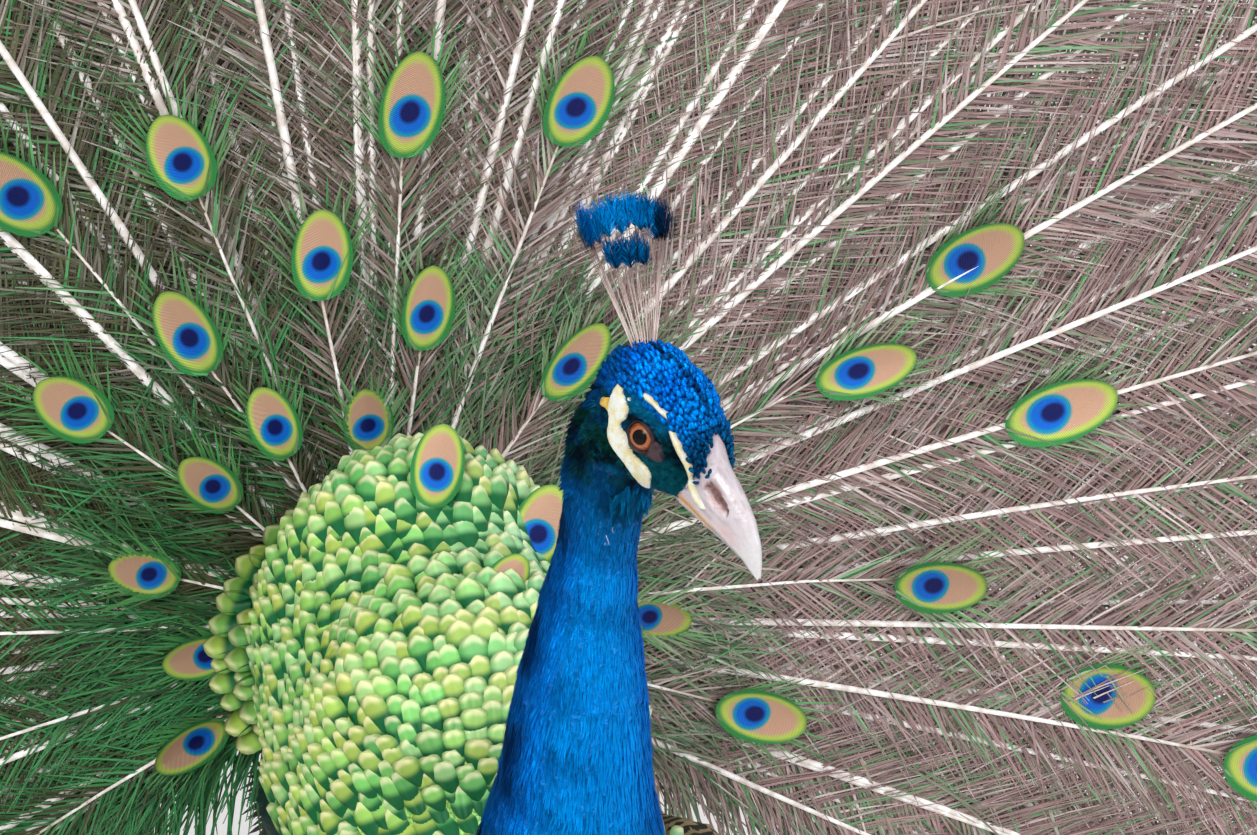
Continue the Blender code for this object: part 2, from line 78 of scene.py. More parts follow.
# %% Head frame
HEAD_AT = Vector((0.018, -0.170, 0.730))
HEAD_TURN, HEAD_BOW, HEAD_ROLL = 27.4, 24.9, -6.4
EYE_AT = (0.2, 9.8, 0.3)
EYE_LOOK = (0.20, 0.95, 0.20)
SIDES = ((1, "left"), (-1, "right"))


def head_frame(at):
    turn = Matrix.Rotation(math.radians(HEAD_TURN - 90.0), 4, "Z")
    bow = Matrix.Rotation(math.radians(HEAD_BOW), 4, "Y")
    roll = Matrix.Rotation(math.radians(HEAD_ROLL), 4, "X")
    return Matrix.Translation(at) @ turn @ bow @ roll @ Matrix.Diagonal((MM, MM, MM, 1.0))


def across(point, side):
    """A point of the head frame, for the left side (1) or the right (-1)."""
    return Vector((point[0], point[1] * side, point[2]))


eye_low, eye_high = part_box("eye_right")
PLACE = (eye_low + eye_high) / 2 - head_frame(HEAD_AT) @ across(EYE_AT, -1)
HEAD = head_frame(HEAD_AT + PLACE)
HEAD_TURN_ONLY = np.array(HEAD.to_3x3()) / MM


def in_head(points):
    """World points, one a row, as head-frame millimetres."""
    return (points - np.array(HEAD.translation)) @ HEAD_TURN_ONLY / MM


def from_head(points):
    return np.asarray(points, float) * MM @ HEAD_TURN_ONLY.T + np.array(HEAD.translation)


print("the model stands", [round(v, 4) for v in PLACE], "from the design's own origin")

# %% [markdown]
# ## The forms under the plumage
# The same few balls and limb stations as the solids use, each drawn in by the depth of the
# feathers that will cover it. Melting them with a voxel remesh gives one closed skin with no
# seams, which is then unwrapped so that every feather can say where on the skin it grows.

# %% Forms of the body
SKULL = (
    ((-12.0, 0.0, 4.5), (21.5, 18.6, 22.0)),
    ((-1.0, 0.0, 6.5), (20.0, 18.0, 19.5)),
    ((9.5, 0.0, 4.6), (19.0, 16.5, 15.0)),
    ((9.0, 0.0, -5.0), (22.0, 14.6, 11.6)),
    ((1.0, 0.0, -12.5), (21.0, 13.0, 11.0)),
    ((-10.0, 0.0, -8.0), (19.0, 17.5, 15.0)),
)
# Feathers reach over the bill's base in a forehead lobe and in the lores below it.
PADS = (((20.5, 5.7, 1.5), (8.6, 3.8, 8.4)), ((16.6, 5.0, -7.6), (11.4, 5.8, 7.4)))
NECK = (
    (0.0, -0.070, 0.400, 0.0800),
    (0.0, -0.086, 0.450, 0.0640),
    (0.001, -0.098, 0.495, 0.0450),
    (0.0015, -0.106, 0.550, 0.0332),
    (0.0015, -0.116, 0.600, 0.0275),
    (0.0015, -0.127, 0.642, 0.0206),
    (0.0020, -0.136, 0.668, 0.0174),
    (0.0025, -0.142, 0.686, 0.0176),
    (0.0035, -0.1465, 0.703, 0.0188),
    (0.0058, -0.153, 0.719, 0.0204),
    (0.0105, -0.1600, 0.735, 0.0190),
)
TRUNK = (
    (0.0, -0.070, 0.385, (0.088, 0.100, 0.108), 0.0),
    (0.0, 0.035, 0.372, (0.103, 0.165, 0.104), 0.0),
    (0.0, 0.158, 0.398, (0.074, 0.104, 0.080), 0.0),
)
SHIELD = (
    (0.0, 0.030, 0.440, (0.086, 0.110, 0.050), 14.0),
    (0.0, 0.085, 0.457, (0.090, 0.088, 0.070), 24.0),
    (0.0, 0.148, 0.490, (0.082, 0.052, 0.105), 12.0),
    (0.0, 0.112, 0.474, (0.084, 0.066, 0.096), 30.0),
    (0.0, 0.052, 0.482, (0.084, 0.064, 0.090), 25.0),
)
VENT = (
    (0.0, 0.232, 0.352, (0.060, 0.058, 0.062), -20.0),
    (0.0, 0.190, 0.315, (0.056, 0.070, 0.045), -15.0),
)


def both_sides(balls):
    return tuple((x * side, y, z, radii, pitch) for side in (1, -1) for x, y, z, radii, pitch in balls)


WING = both_sides((
    (0.090, -0.025, 0.392, (0.025, 0.062, 0.060), -14.0),
    (0.100, 0.040, 0.368, (0.026, 0.105, 0.062), -20.0),
    (0.100, 0.108, 0.335, (0.021, 0.090, 0.040), -24.0),
))
THIGH = both_sides((
    (0.058, 0.004, 0.298, (0.036, 0.062, 0.060), -15.0),
    (0.063, 0.010, 0.262, (0.040, 0.040, 0.050), 30.0),
    (0.061, 0.034, 0.222, (0.029, 0.029, 0.040), 35.0),
    (0.058, 0.055, 0.186, (0.018, 0.018, 0.032), 30.0),
))
DEPTH = {"skull": 1.5, "neck": 2.4, "trunk": 0.008, "shield": 0.007, "vent": 0.014,
         "wing": 0.006, "thigh": 0.005}  # skull and neck in mm
FORMS = {"trunk": TRUNK, "shield": SHIELD, "vent": VENT, "wing": WING, "thigh": THIGH}


def drawn_in(name):
    """A form's balls, in the frame's place and smaller by its plumage."""
    return [(Vector((x, y, z)) + PLACE, [r - DEPTH[name] for r in radii], pitch)
            for x, y, z, radii, pitch in FORMS[name]]


def add_ball(clay, centre, radii, pitch=0.0, frame_of=None):
    place = Matrix.Translation(centre) @ Matrix.Rotation(math.radians(pitch), 4, "X")
    place = (frame_of or Matrix()) @ place @ Matrix.Diagonal((*radii, 1.0))
    bmesh.ops.create_icosphere(clay, subdivisions=4, radius=1.0, matrix=place)


def ring_at(centre, along, radius, sides):
    side = along.cross(Vector((0.0, 1.0, 0.0)))
    if side.length < 0.2:
        side = along.cross(Vector((1.0, 0.0, 0.0)))
    side.normalize()
    other = side.cross(along)
    angles = [2 * math.pi * k / sides for k in range(sides)]
    return [centre + (side * math.cos(a) + other * math.sin(a)) * radius for a in angles]


def add_tube(clay, stations, sides=24):
    """A closed tube through (centre, radius) stations."""
    centres = [Vector(centre) for centre, _ in stations]
    rings = []
    for i, (_, radius) in enumerate(stations):
        along = (centres[min(i + 1, len(centres) - 1)] - centres[max(i - 1, 0)]).normalized()
        rings.append([clay.verts.new(point) for point in ring_at(centres[i], along, radius, sides)])
    for low, high in zip(rings, rings[1:]):
        for k in range(sides):
            n = (k + 1) % sides
            clay.faces.new((low[k], low[n], high[n], high[k]))
    clay.faces.new(rings[0][::-1])
    clay.faces.new(rings[-1])


def placed(name, mesh):
    """The mesh as an object of the scene, at its origin."""
    made = bpy.data.objects.new(name, mesh)
    bpy.context.scene.collection.objects.link(made)
    return made


def new_object(name, clay):
    """Turns clay into an object with its faces outwards."""
    bmesh.ops.recalc_face_normals(clay, faces=clay.faces)
    mesh = bpy.data.meshes.new(name)
    clay.to_mesh(mesh)
    clay.free()
    return placed(name, mesh)


def evaluated(piece):
    """The mesh that the piece's modifiers make. The modifiers are then removed."""
    bpy.context.view_layer.update()
    graph = bpy.context.evaluated_depsgraph_get()
    mesh = bpy.data.meshes.new_from_object(piece.evaluated_get(graph))
    piece.modifiers.clear()
    return mesh


# %% Melt the forms into one skin
SKIN_VOXEL = 0.003
FACE_MIDDLE, FACE_REACH = (0.0, 0.0, -4.0), 34.0  # mm of the head frame


def melt(piece, voxel, rounds):
    """Joins the forms that overlap into one closed, evenly fine surface."""
    remesh = piece.modifiers.new("Melt", "REMESH")
    remesh.mode = "VOXEL"
    remesh.voxel_size = voxel
    soften = piece.modifiers.new("Soften", "SMOOTH")
    soften.factor = 0.5
    soften.iterations = rounds
    piece.data = evaluated(piece)
    return piece


clay = bmesh.new()
for centre, radii in SKULL:
    add_ball(clay, centre, [r - DEPTH["skull"] for r in radii], frame_of=HEAD)
for side in (1, -1):
    for centre, radii in PADS:
        add_ball(clay, across(centre, side), radii, frame_of=HEAD)
add_tube(clay, [(Vector((x, y, z)) + PLACE, r - DEPTH["neck"] * MM) for x, y, z, r in NECK])
for form in FORMS:
    for centre, radii, pitch in drawn_in(form):
        add_ball(clay, centre, radii, pitch)
skin = melt(new_object("skin", clay), SKIN_VOXEL, 4)

# The head carries the finest feathers, so its faces are divided once more.
fine = bmesh.new()
fine.from_mesh(skin.data)
fine.verts.ensure_lookup_table()
where = in_head(np.array([v.co for v in fine.verts]))
near_face = np.linalg.norm(where - FACE_MIDDLE, axis=1) < FACE_REACH
edges = [e for e in fine.edges if near_face[e.verts[0].index] and near_face[e.verts[1].index]]
bmesh.ops.subdivide_edges(fine, edges=edges, cuts=1, use_grid_fill=True, smooth=0.0)
bmesh.ops.triangulate(fine, faces=[f for f in fine.faces if len(f.verts) > 4])
fine.to_mesh(skin.data)
fine.free()
print("skin has", len(skin.data.polygons), "faces")

# %% Unwrap the skin
bpy.ops.object.select_all(action="DESELECT")
bpy.context.view_layer.objects.active = skin
skin.select_set(True)
skin.data.uv_layers.new(name="OFBake")
bpy.ops.object.mode_set(mode="EDIT")
bpy.ops.mesh.select_all(action="SELECT")
bpy.ops.uv.smart_project(angle_limit=math.radians(66.0), island_margin=0.004)
bpy.ops.object.mode_set(mode="OBJECT")


def read(items, field, width=1, kind=float):
    """One number, or one row of them, for each item of a mesh."""
    values = np.empty(len(items) * width, kind)
    items.foreach_get(field, values)
    return values.reshape(-1, width) if width > 1 else values


def ray_tree(mesh):
    """What rays are cast at to find places on the mesh."""
    points = read(mesh.vertices, "co", 3).tolist()
    return BVHTree.FromPolygons(points, [tuple(face.vertices) for face in mesh.polygons])


class Surface:
    """The skin as arrays: points, normals, edges and each point's place on the unwrap."""

    def __init__(self, mesh):
        self.points = read(mesh.vertices, "co", 3)
        self.normals = read(mesh.vertex_normals, "vector", 3)
        self.edges = read(mesh.edges, "vertices", 2, int)
        self.unwrap = np.zeros((len(self.points), 2))
        corner = read(mesh.loops, "vertex_index", kind=int)
        self.unwrap[corner] = read(mesh.uv_layers["OFBake"].data, "uv", 2)
        self.tree = ray_tree(mesh)


surface = Surface(skin.data)
print("unwrapped", len(surface.points), "points")

# %% [markdown]
# ## Which feathers grow where
# Each point of the skin belongs to the form that it lies on. The distances below are rough, but
# near a surface they are good enough to tell the flank from the wing that lies over it.


# %% Regions of the skin
def off_balls(points, balls):
    """How far each point is outside the nearest of the balls."""
    nearest = np.full(len(points), 9.0)
    for centre, radii, pitch in balls:
        turn = np.array(Matrix.Rotation(math.radians(pitch), 3, "X"))
        scaled = ((points - np.array(centre)) @ turn) / np.array(radii)
        nearest = np.minimum(nearest, (np.linalg.norm(scaled, axis=1) - 1.0) * min(radii))
    return nearest


def off_neck(points):
    """How far each point is outside the neck's tube."""
    nearest = np.full(len(points), 9.0)
    rows = [(np.array([x, y, z]) + np.array(PLACE), r - DEPTH["neck"] * MM) for x, y, z, r in NECK]
    for (a, ra), (b, rb) in zip(rows, rows[1:]):
        t = np.clip((points - a) @ (b - a) / ((b - a) @ (b - a)), 0.0, 1.0)
        gap = np.linalg.norm(points - a - t[:, None] * (b - a), axis=1) - (ra + t * (rb - ra))
        nearest = np.minimum(nearest, gap)
    return nearest


FORM_NAMES = ["head", "neck", *FORMS]


def form_of(points):
    """The index in FORM_NAMES of the form that each point lies on."""
    skull = [(Vector(c), [r - DEPTH["skull"] for r in radii], 0.0) for c, radii in SKULL]
    gaps = [off_balls(in_head(points), skull) * MM, off_neck(points)]
    gaps += [off_balls(points, drawn_in(name)) for name in FORMS]
    return np.argmin(gaps, axis=0)


def smooth(low, high, values):
    """0 below low, 1 above high and a soft step between. Low may be the larger."""
    t = np.clip((values - low) / (high - low), 0.0, 1.0)
    return t * t * (3 - 2 * t)


def even_out(values, rounds):
    """Each point's value drawn towards its neighbours', a few times over."""
    a, b = surface.edges.T
    count = np.bincount(np.r_[a, b], minlength=len(values)).astype(float)[:, None]
    for _ in range(rounds):
        total = [np.bincount(a, v[b], len(v)) + np.bincount(b, v[a], len(v)) for v in values.T]
        values = 0.5 * values + 0.5 * np.stack(total, 1) / np.maximum(count, 1)
    return values


def lies_on(*names):
    """Which points of the skin lie on the named forms."""
    return np.isin(skin_form, [FORM_NAMES.index(name) for name in names])


# Where balls meet on the back, the skin has creases that scales would sink into.
skin_form = form_of(surface.points)
back = even_out(lies_on("shield")[:, None] * 1.0, 8)
flatter = even_out(surface.points, 90)
skin.data.vertices.foreach_set("co", (surface.points + back * (flatter - surface.points)).ravel())
skin.data.update()
surface = Surface(skin.data)
skin_form = form_of(surface.points)
skin_head = in_head(surface.points)
print({name: int(lies_on(name).sum()) for name in FORM_NAMES})

# %% [markdown]
# ## Planting machinery
# Two Geometry Nodes trees do all the planting. The first scatters roots evenly over a covered part
# of the skin. The second takes roots that carry, as attributes, the way out of the skin, the way
# the feather lies, its size, its colour and which of a few shapes it is, and stands one small
# mesh on each. Realize Instances makes them plain mesh, and Set Material gives the finish.


# %% Node helpers
def add(tree, kind, settings=None, inputs=()):
    """Adds a node. Inputs are values or other nodes' sockets, by place or by name."""
    made = tree.nodes.new(kind)
    for key, value in (settings or {}).items():
        setattr(made, key, value)
    for key, value in inputs.items() if isinstance(inputs, dict) else enumerate(inputs):
        if isinstance(value, bpy.types.NodeSocket):
            tree.links.new(value, made.inputs[key])
        elif value is not None:
            made.inputs[key].default_value = value
    return made


def new_tree(name, kind, inputs, outputs):
    """A node group with named sockets, and its input and output nodes."""
    tree = bpy.data.node_groups.new(name, kind)
    for label, socket, value in inputs:
        made = tree.interface.new_socket(label, in_out="INPUT", socket_type=socket)
        if value is not None:
            made.default_value = value
    for label, socket in outputs:
        tree.interface.new_socket(label, in_out="OUTPUT", socket_type=socket)
    return tree, tree.nodes.new("NodeGroupInput"), tree.nodes.new("NodeGroupOutput")


def named(tree, name, kind):
    return add(tree, "GeometryNodeInputNamedAttribute", {"data_type": kind}, [name]).outputs[0]


def make_scatter_tree():
    tree, given, out = new_tree("Scatter roots", "GeometryNodeTree", [
        ("Skin", "NodeSocketGeometry", None),
        ("Spacing", "NodeSocketFloat", 0.003),
        ("Seed", "NodeSocketInt", 1),
    ], [("Roots", "NodeSocketGeometry")])
    cover = named(tree, "cover", "FLOAT")
    bare = add(tree, "FunctionNodeCompare", {"operation": "LESS_THAN"}, {"A": cover, "B": 0.001})
    kept = add(tree, "GeometryNodeDeleteGeometry", {"domain": "POINT"},
               [given.outputs["Skin"], bare.outputs[0]])
    area = add(tree, "ShaderNodeMath", {"operation": "MULTIPLY"}, [given.outputs["Spacing"]] * 2)
    density = add(tree, "ShaderNodeMath", {"operation": "DIVIDE"}, [3.0, area.outputs[0]])
    spread = add(tree, "GeometryNodeDistributePointsOnFaces", {"distribute_method": "POISSON"}, {
        "Mesh": kept.outputs[0],
        "Distance Min": given.outputs["Spacing"],
        "Density Max": density.outputs[0],
        "Density Factor": cover,
        "Seed": given.outputs["Seed"],
    })
    outward = add(tree, "GeometryNodeStoreNamedAttribute", {"data_type": "FLOAT_VECTOR"}, {
        "Geometry": spread.outputs["Points"],
        "Name": "out",
        "Value": spread.outputs["Normal"],
    })
    dots = add(tree, "GeometryNodePointsToVertices", None, [outward.outputs[0]])
    tree.links.new(dots.outputs[0], out.inputs[0])
    return tree


def make_plant_tree():
    tree, given, out = new_tree("Plant feathers", "GeometryNodeTree", [
        ("Roots", "NodeSocketGeometry", None),
        ("Shapes", "NodeSocketCollection", None),
        ("Finish", "NodeSocketMaterial", None),
    ], [("Feathers", "NodeSocketGeometry")])
    shapes = add(tree, "GeometryNodeCollectionInfo", None, {
        "Collection": given.outputs["Shapes"], "Separate Children": True, "Reset Children": True})
    turn = add(tree, "FunctionNodeAxesToRotation", {"primary_axis": "Z", "secondary_axis": "Y"}, [
        named(tree, "out", "FLOAT_VECTOR"), named(tree, "lie", "FLOAT_VECTOR")])
    stand = add(tree, "GeometryNodeInstanceOnPoints", None, {
        "Points": given.outputs["Roots"],
        "Instance": shapes.outputs[0],
        "Pick Instance": True,
        "Instance Index": named(tree, "kind", "INT"),
        "Rotation": turn.outputs[0],
        "Scale": named(tree, "size", "FLOAT_VECTOR"),
    })
    real = add(tree, "GeometryNodeRealizeInstances", None, [stand.outputs[0]])
    done = add(tree, "GeometryNodeSetMaterial", None,
               {"Geometry": real.outputs[0], "Material": given.outputs["Finish"]})
    tree.links.new(done.outputs[0], out.inputs[0])
    return tree


SCATTER = make_scatter_tree()
PLANT = make_plant_tree()


# %% Scatter, rows and plant
def run_tree(piece, tree, values):
    """Runs a Geometry Nodes tree on the piece and returns the mesh that it makes."""
    modifier = piece.modifiers.new(tree.name, "NODES")
    modifier.node_group = tree
    for item in tree.interface.items_tree:
        if item.in_out == "INPUT" and item.name in values:
            modifier[item.identifier] = values[item.name]
    return evaluated(piece)


FIELDS = {"FLOAT": ("value", 1), "INT": ("value", 1), "FLOAT_VECTOR": ("vector", 3),
          "FLOAT_COLOR": ("color", 4), "FLOAT2": ("vector", 2)}


def store(mesh, name, kind, values):
    """Writes a named value on each point of the mesh."""
    found = mesh.attributes.get(name) or mesh.attributes.new(name, kind, "POINT")
    values = np.asarray(values, int if kind == "INT" else float)
    found.data.foreach_set(FIELDS[kind][0], values.ravel())


def store_tone(mesh, colours):
    store(mesh, "tone", "FLOAT_COLOR", np.c_[colours, np.ones(len(colours))])


def store_laid(mesh, places):
    store(mesh, "laid", "FLOAT_VECTOR", np.c_[places, np.zeros(len(places))])


def fetch(mesh, name, kind="FLOAT_VECTOR"):
    return read(mesh.attributes[name].data, *FIELDS[kind])


def scatter(cover, spacing, seed):
    """Roots over the covered skin, evenly apart: (points, normals, places on the unwrap)."""
    store(skin.data, "cover", "FLOAT", cover)
    store_laid(skin.data, surface.unwrap)
    mesh = run_tree(skin, SCATTER, {"Spacing": spacing, "Seed": seed})
    return read(mesh.vertices, "co", 3), fetch(mesh, "out"), fetch(mesh, "laid")[:, :2]


def rows(height, step, spacing, cover, around, seed, jitter=0.1, break_at=0.012):
    """Roots in rows like shingles, one row on each level of the height field, every other row
    set over by half a space. Around is a field that grows along a row."""
    rng = np.random.default_rng(seed)
    a, b = surface.edges[(cover[surface.edges] > 0).all(axis=1)].T
    found = []
    first, last = height[np.r_[a, b]].min(), height[np.r_[a, b]].max()
    for k, level in enumerate(np.arange(first + step * 0.5, last, step)):
        crossing = (height[a] - level) * (height[b] - level) < 0
        i, j = a[crossing], b[crossing]
        if len(i) < 2:
            continue
        t = (level - height[i]) / (height[j] - height[i])
        order = np.argsort(around[i] * (1 - t) + around[j] * t)
        i, j, t = i[order], j[order], t[order][:, None]
        line = np.hstack([field[i] * (1 - t) + field[j] * t for field in (surface.points, surface.normals)])
        line = np.hstack([line, surface.unwrap[i]])
        hops = np.linalg.norm(np.diff(line[:, :3], axis=0), axis=1)
        along = np.r_[0.0, np.cumsum(hops)]
        stops = np.arange(spacing * (0.25 + 0.5 * (k % 2)), along[-1], spacing)
        stops = stops + rng.uniform(-jitter, jitter, len(stops)) * spacing
        at = np.clip(np.searchsorted(along, stops) - 1, 0, len(hops) - 1)
        good = hops[at] < break_at
        stops, at = stops[good], at[good]
        part = ((stops - along[at]) / np.maximum(hops[at], 1e-9))[:, None]
        found.append(line[at] * (1 - part) + line[at + 1] * part)
    found = np.vstack(found)
    return found[:, :3], found[:, 3:6], found[:, 6:8]


def unit(vectors):
    return vectors / np.maximum(np.linalg.norm(vectors, axis=1, keepdims=True), 1e-12)


def plant(name, shapes, roots, out, lie, size, tone, finish, laid, tilt=0.0, kind=0, patch=0.003):
    """Stands one of the shapes on each root, as one mesh with the OFBake map that baking needs."""
    count = len(roots)
    out = unit(np.broadcast_to(np.asarray(out, float), (count, 3)))
    lie = unit(lie - out * (lie * out).sum(1, keepdims=True))
    tilt = np.radians(np.broadcast_to(tilt, count))[:, None]
    mesh = bpy.data.meshes.new(name + "_roots")
    seedbed = placed(name, mesh)
    mesh.from_pydata(np.asarray(roots).tolist(), [], [])
    store(mesh, "out", "FLOAT_VECTOR", out * np.cos(tilt) - lie * np.sin(tilt))
    store(mesh, "lie", "FLOAT_VECTOR", lie * np.cos(tilt) + out * np.sin(tilt))
    store(mesh, "size", "FLOAT_VECTOR", size)
    store(mesh, "kind", "INT", np.broadcast_to(kind, count))
    store_tone(mesh, np.broadcast_to(tone, (count, 3)))
    store_laid(mesh, laid)
    seedbed.data = run_tree(seedbed, PLANT, {"Shapes": shapes, "Finish": finish})
    lay_out(seedbed.data, patch)
    return seedbed


def lay_out(mesh, patch):
    """OFBake: each feather is a small patch at its root's place on the skin's unwrap."""
    root = fetch(mesh, "laid")[read(mesh.loops, "vertex_index", kind=int), :2]
    vane = fetch(mesh, "Vane", "FLOAT2")
    mesh.uv_layers.new(name="OFBake").data.foreach_set("uv", (root + (vane - 0.5) * patch).ravel())
    for spare in ("out", "lie", "size", "kind", "laid"):
        if spare in mesh.attributes:
            mesh.attributes.remove(mesh.attributes[spare])

def ride_on(piece, slot, *nodes):
    """Everything here is one still body, so each piece rides on the root."""
    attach(piece, "root")
    if nodes:
        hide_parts(*nodes)
    return piece


def sized(rng, mm, low, high, count):
    """Sizes around one (wide, long, high) size in mm."""
    return np.array(mm) * MM * rng.uniform(low, high, (count, 1))


def barb_size(wide, reach):
    return np.c_[np.broadcast_to(wide, len(reach)), reach, reach]

# %% [markdown]
# ## Feather shapes
# A feather's blade is a small grid along +Y with its outer face up. Its half width follows a
# function of the way along, its sides droop like a roof, and it curls down towards its tip. Its own
# UV map, Vane, runs across and along, so that a finish can draw barbs, bars and rims on it.


# %% Blades and tufts
def blade(half_width, columns=2, stops=4, roof=0.15, curl=0.1, bend=0.0, flat_map=False):
    """(points, faces, vane) of a blade of length 1 and width 1. A flat map isn't stretched to its sides."""
    along = np.linspace(0.0, 1.0, stops + 1)
    if stops > 4:
        along = 0.5 - 0.5 * np.cos(along * math.pi)
    sides = np.linspace(-1.0, 1.0, columns + 1)
    points, vane = [], []
    for v in along:
        for u in sides:
            wide = half_width(v) * u
            points.append((wide + bend * v * v, v, -roof * u * u * half_width(v) - curl * v * v))
            vane.append((0.5 + (wide if flat_map else 0.5 * u), v))
    faces = []
    for j in range(stops):
        for i in range(columns):
            low = j * (columns + 1) + i
            faces.append((low, low + 1, low + columns + 2, low + columns + 1))
    return np.array(points), faces, vane


def turned(part, degrees, shift=(0.0, 0.0, 0.0), size=1.0):
    points, faces, vane = part
    turn = np.array(Matrix.Rotation(math.radians(degrees), 3, "Z"))
    return points * size @ turn.T + np.array(shift), faces, vane


def shape(*parts):
    """One object from several blades, with the Vane map."""
    mesh = bpy.data.meshes.new("feather")
    points, faces, vane = [], [], []
    for part_points, part_faces, part_vane in parts:
        faces += [[i + len(points) for i in face] for face in part_faces]
        points += [tuple(p) for p in part_points]
        vane += part_vane
    mesh.from_pydata(points, [], faces)
    laid = mesh.uv_layers.new(name="Vane")
    for loop in mesh.loops:
        laid.data[loop.index].uv = vane[loop.vertex_index]
    mesh.shade_smooth()
    return bpy.data.objects.new("feather", mesh)


def shape_set(name, *shapes):
    """A collection that the planting tree picks from, in the order of its objects' names."""
    made = bpy.data.collections.new(name)
    for k, piece in enumerate(shapes):
        piece.name = f"{name}_{k}"
        made.objects.link(piece)
    return made


def round_tip(v):
    """Half width of a feather with a broad, round end."""
    return 0.5 * min(1.0, 0.35 + 1.6 * v) * math.sqrt(max(0.0, 1.0 - max(0.0, (v - 0.55) / 0.45) ** 2.2))


def leaf(v):
    return 0.5 * math.sin(math.pi * min(1.0, 0.12 + 0.88 * v)) ** 0.8


def curled_tip(v):
    return 0.5 * math.sqrt(max(0.0, 1 - (2 * v - 1) ** 2)) * (0.75 + 0.35 * v)


def hair(width):
    """Half width of a loose barb that runs out to a point."""
    return lambda v: width * (1 - v) ** 0.5


def silk_feather(curl, loose_curl, up, *hairs):
    """A soft leaf with loose barbs beside it, each at an angle, a place across and a size."""
    loose = blade(hair(0.10), 1, 3, 0, loose_curl)
    tufts = [turned(loose, d, (0.1 * x, up, 0.03), s) for d, x, s in hairs]
    return shape(blade(leaf, 2, 4, 0.3, curl), *tufts)


def bent_pair(name, half_width, stops, curl, bend):
    """A strip bent to the left and one bent to the right."""
    return shape_set(name, *[shape(blade(half_width, 1, stops, 0.0, curl, b * bend)) for b in (1, -1)])


SILK = shape_set(
    "silk",
    silk_feather(0.16, 0.14, 0.08, (-9, 1, 1.0), (4, -1, 1.06), (13, -2, 0.92), (-3, 2, 0.98)),
    silk_feather(0.10, 0.10, 0.05, (10, -1, 1.03), (-6, 1, 0.95), (-14, 2, 0.9)),
)
VELVET = shape_set("velvet", shape(*[turned(blade(hair(0.16), 1, 2, 0, 0.2), d, (0.2 * x, 0, 0))
                                     for d, x in ((-16, 1), (3, 0), (18, -1))]))
FLUFF = shape_set("fluff", shape(*[
    turned(blade(hair(0.09), 1, 4, 0, curl), d, (0.12 * x, 0, 0.02 * abs(x)), s)
    for d, x, s, curl in ((-24, 2, 0.8, 0.0), (-13, 1, 0.95, 0.1), (-3, 0, 1.0, 0.2),
                          (7, -1, 0.9, 0.05), (17, -2, 1.0, 0.15), (29, -3, 0.75, 0.0))]))
BEAD = shape_set("bead", shape(blade(curled_tip, 4, 5, 0.0, 0.0)))
SCALE = shape_set("scale", shape(blade(round_tip, 6, 9, 0.38, 0.16)))
BODY = shape_set("body", shape(blade(round_tip, 4, 5, 0.25, 0.12)))
BARB = bent_pair("barb", lambda v: 0.5 * (1 - 0.75 * v**1.5), 3, 0.08, 0.30)

# The bead is domed like a curled feather tip.
for piece in BEAD.objects:
    for vert in piece.data.vertices:
        x, y, _ = vert.co
        vert.co.z = 0.5 * max(0.0, 1 - (2 * x) ** 2 - (2 * y - 1) ** 2) ** 0.5 + 0.25 * y

# %% [markdown]
# ## Colours and the lie of the plumage
# A peafowl's blue is not a pigment: fine layers in each barb reflect it, so it looks deep and a
# little metallic. Each feather here carries one tone, worked out from where it grows, and the skin
# below carries the same tones, so a gap never shows a foreign colour. The lie is a direction on the
# skin at every point, smoothed over the mesh so that feathers turn gradually from form to form.


# %% Tones
def tone(red, green, blue):
    """Linear colour from everyday 0 to 255 values."""
    c = np.array([red, green, blue]) / 255.0
    return np.where(c <= 0.04045, c / 12.92, ((c + 0.055) / 1.055) ** 2.4)


AZURE, COBALT, NAVY = tone(0, 150, 246), tone(0, 96, 204), tone(0, 34, 86)
TEAL, INKY, BOTTLE = tone(4, 74, 86), tone(6, 20, 28), tone(8, 58, 44)
BELLY, BUFF, DOWN = tone(22, 52, 50), tone(186, 156, 118), tone(52, 44, 40)
LIME, GOLD, FERN = tone(172, 250, 138), tone(236, 224, 76), tone(40, 168, 96)


def blend(a, b, share):
    """From a to b by each point's share. Either may be one colour for all."""
    share = np.asarray(share)[:, None]
    return a * (1 - share) + b * share


def layered(colour, *layers):
    """A colour with (colour, share) layers laid over it."""
    for over, share in layers:
        colour = blend(colour, over, share)
    return colour


def blotches(points, size, seed, count=7):
    """A smooth random field from 0 to 1 with patches about the given size."""
    rng = np.random.default_rng(seed)
    total = np.zeros(len(points))
    for _ in range(count):
        way = rng.normal(size=3)
        way *= rng.uniform(0.6, 1.6) * math.pi / size / np.linalg.norm(way)
        total += np.sin(points @ way + rng.uniform(0, 6.3))
    return np.clip(0.5 + total / count, 0.0, 1.0)


def brow(x):
    """Height of the line in the head frame above which the crown's curled feathers grow."""
    return np.interp(x, (-24, -8, 4, 8, 12, 17, 23, 27, 31), (10, 13, 13, 12.5, 11.5, 9.4, 4.6, -1, -5))


def off_parting(head):
    """How far points of the head frame are off the crown's wavy middle line."""
    return np.abs(head[:, 1] + 0.7 * np.sin(head[:, 0] / 3.0))


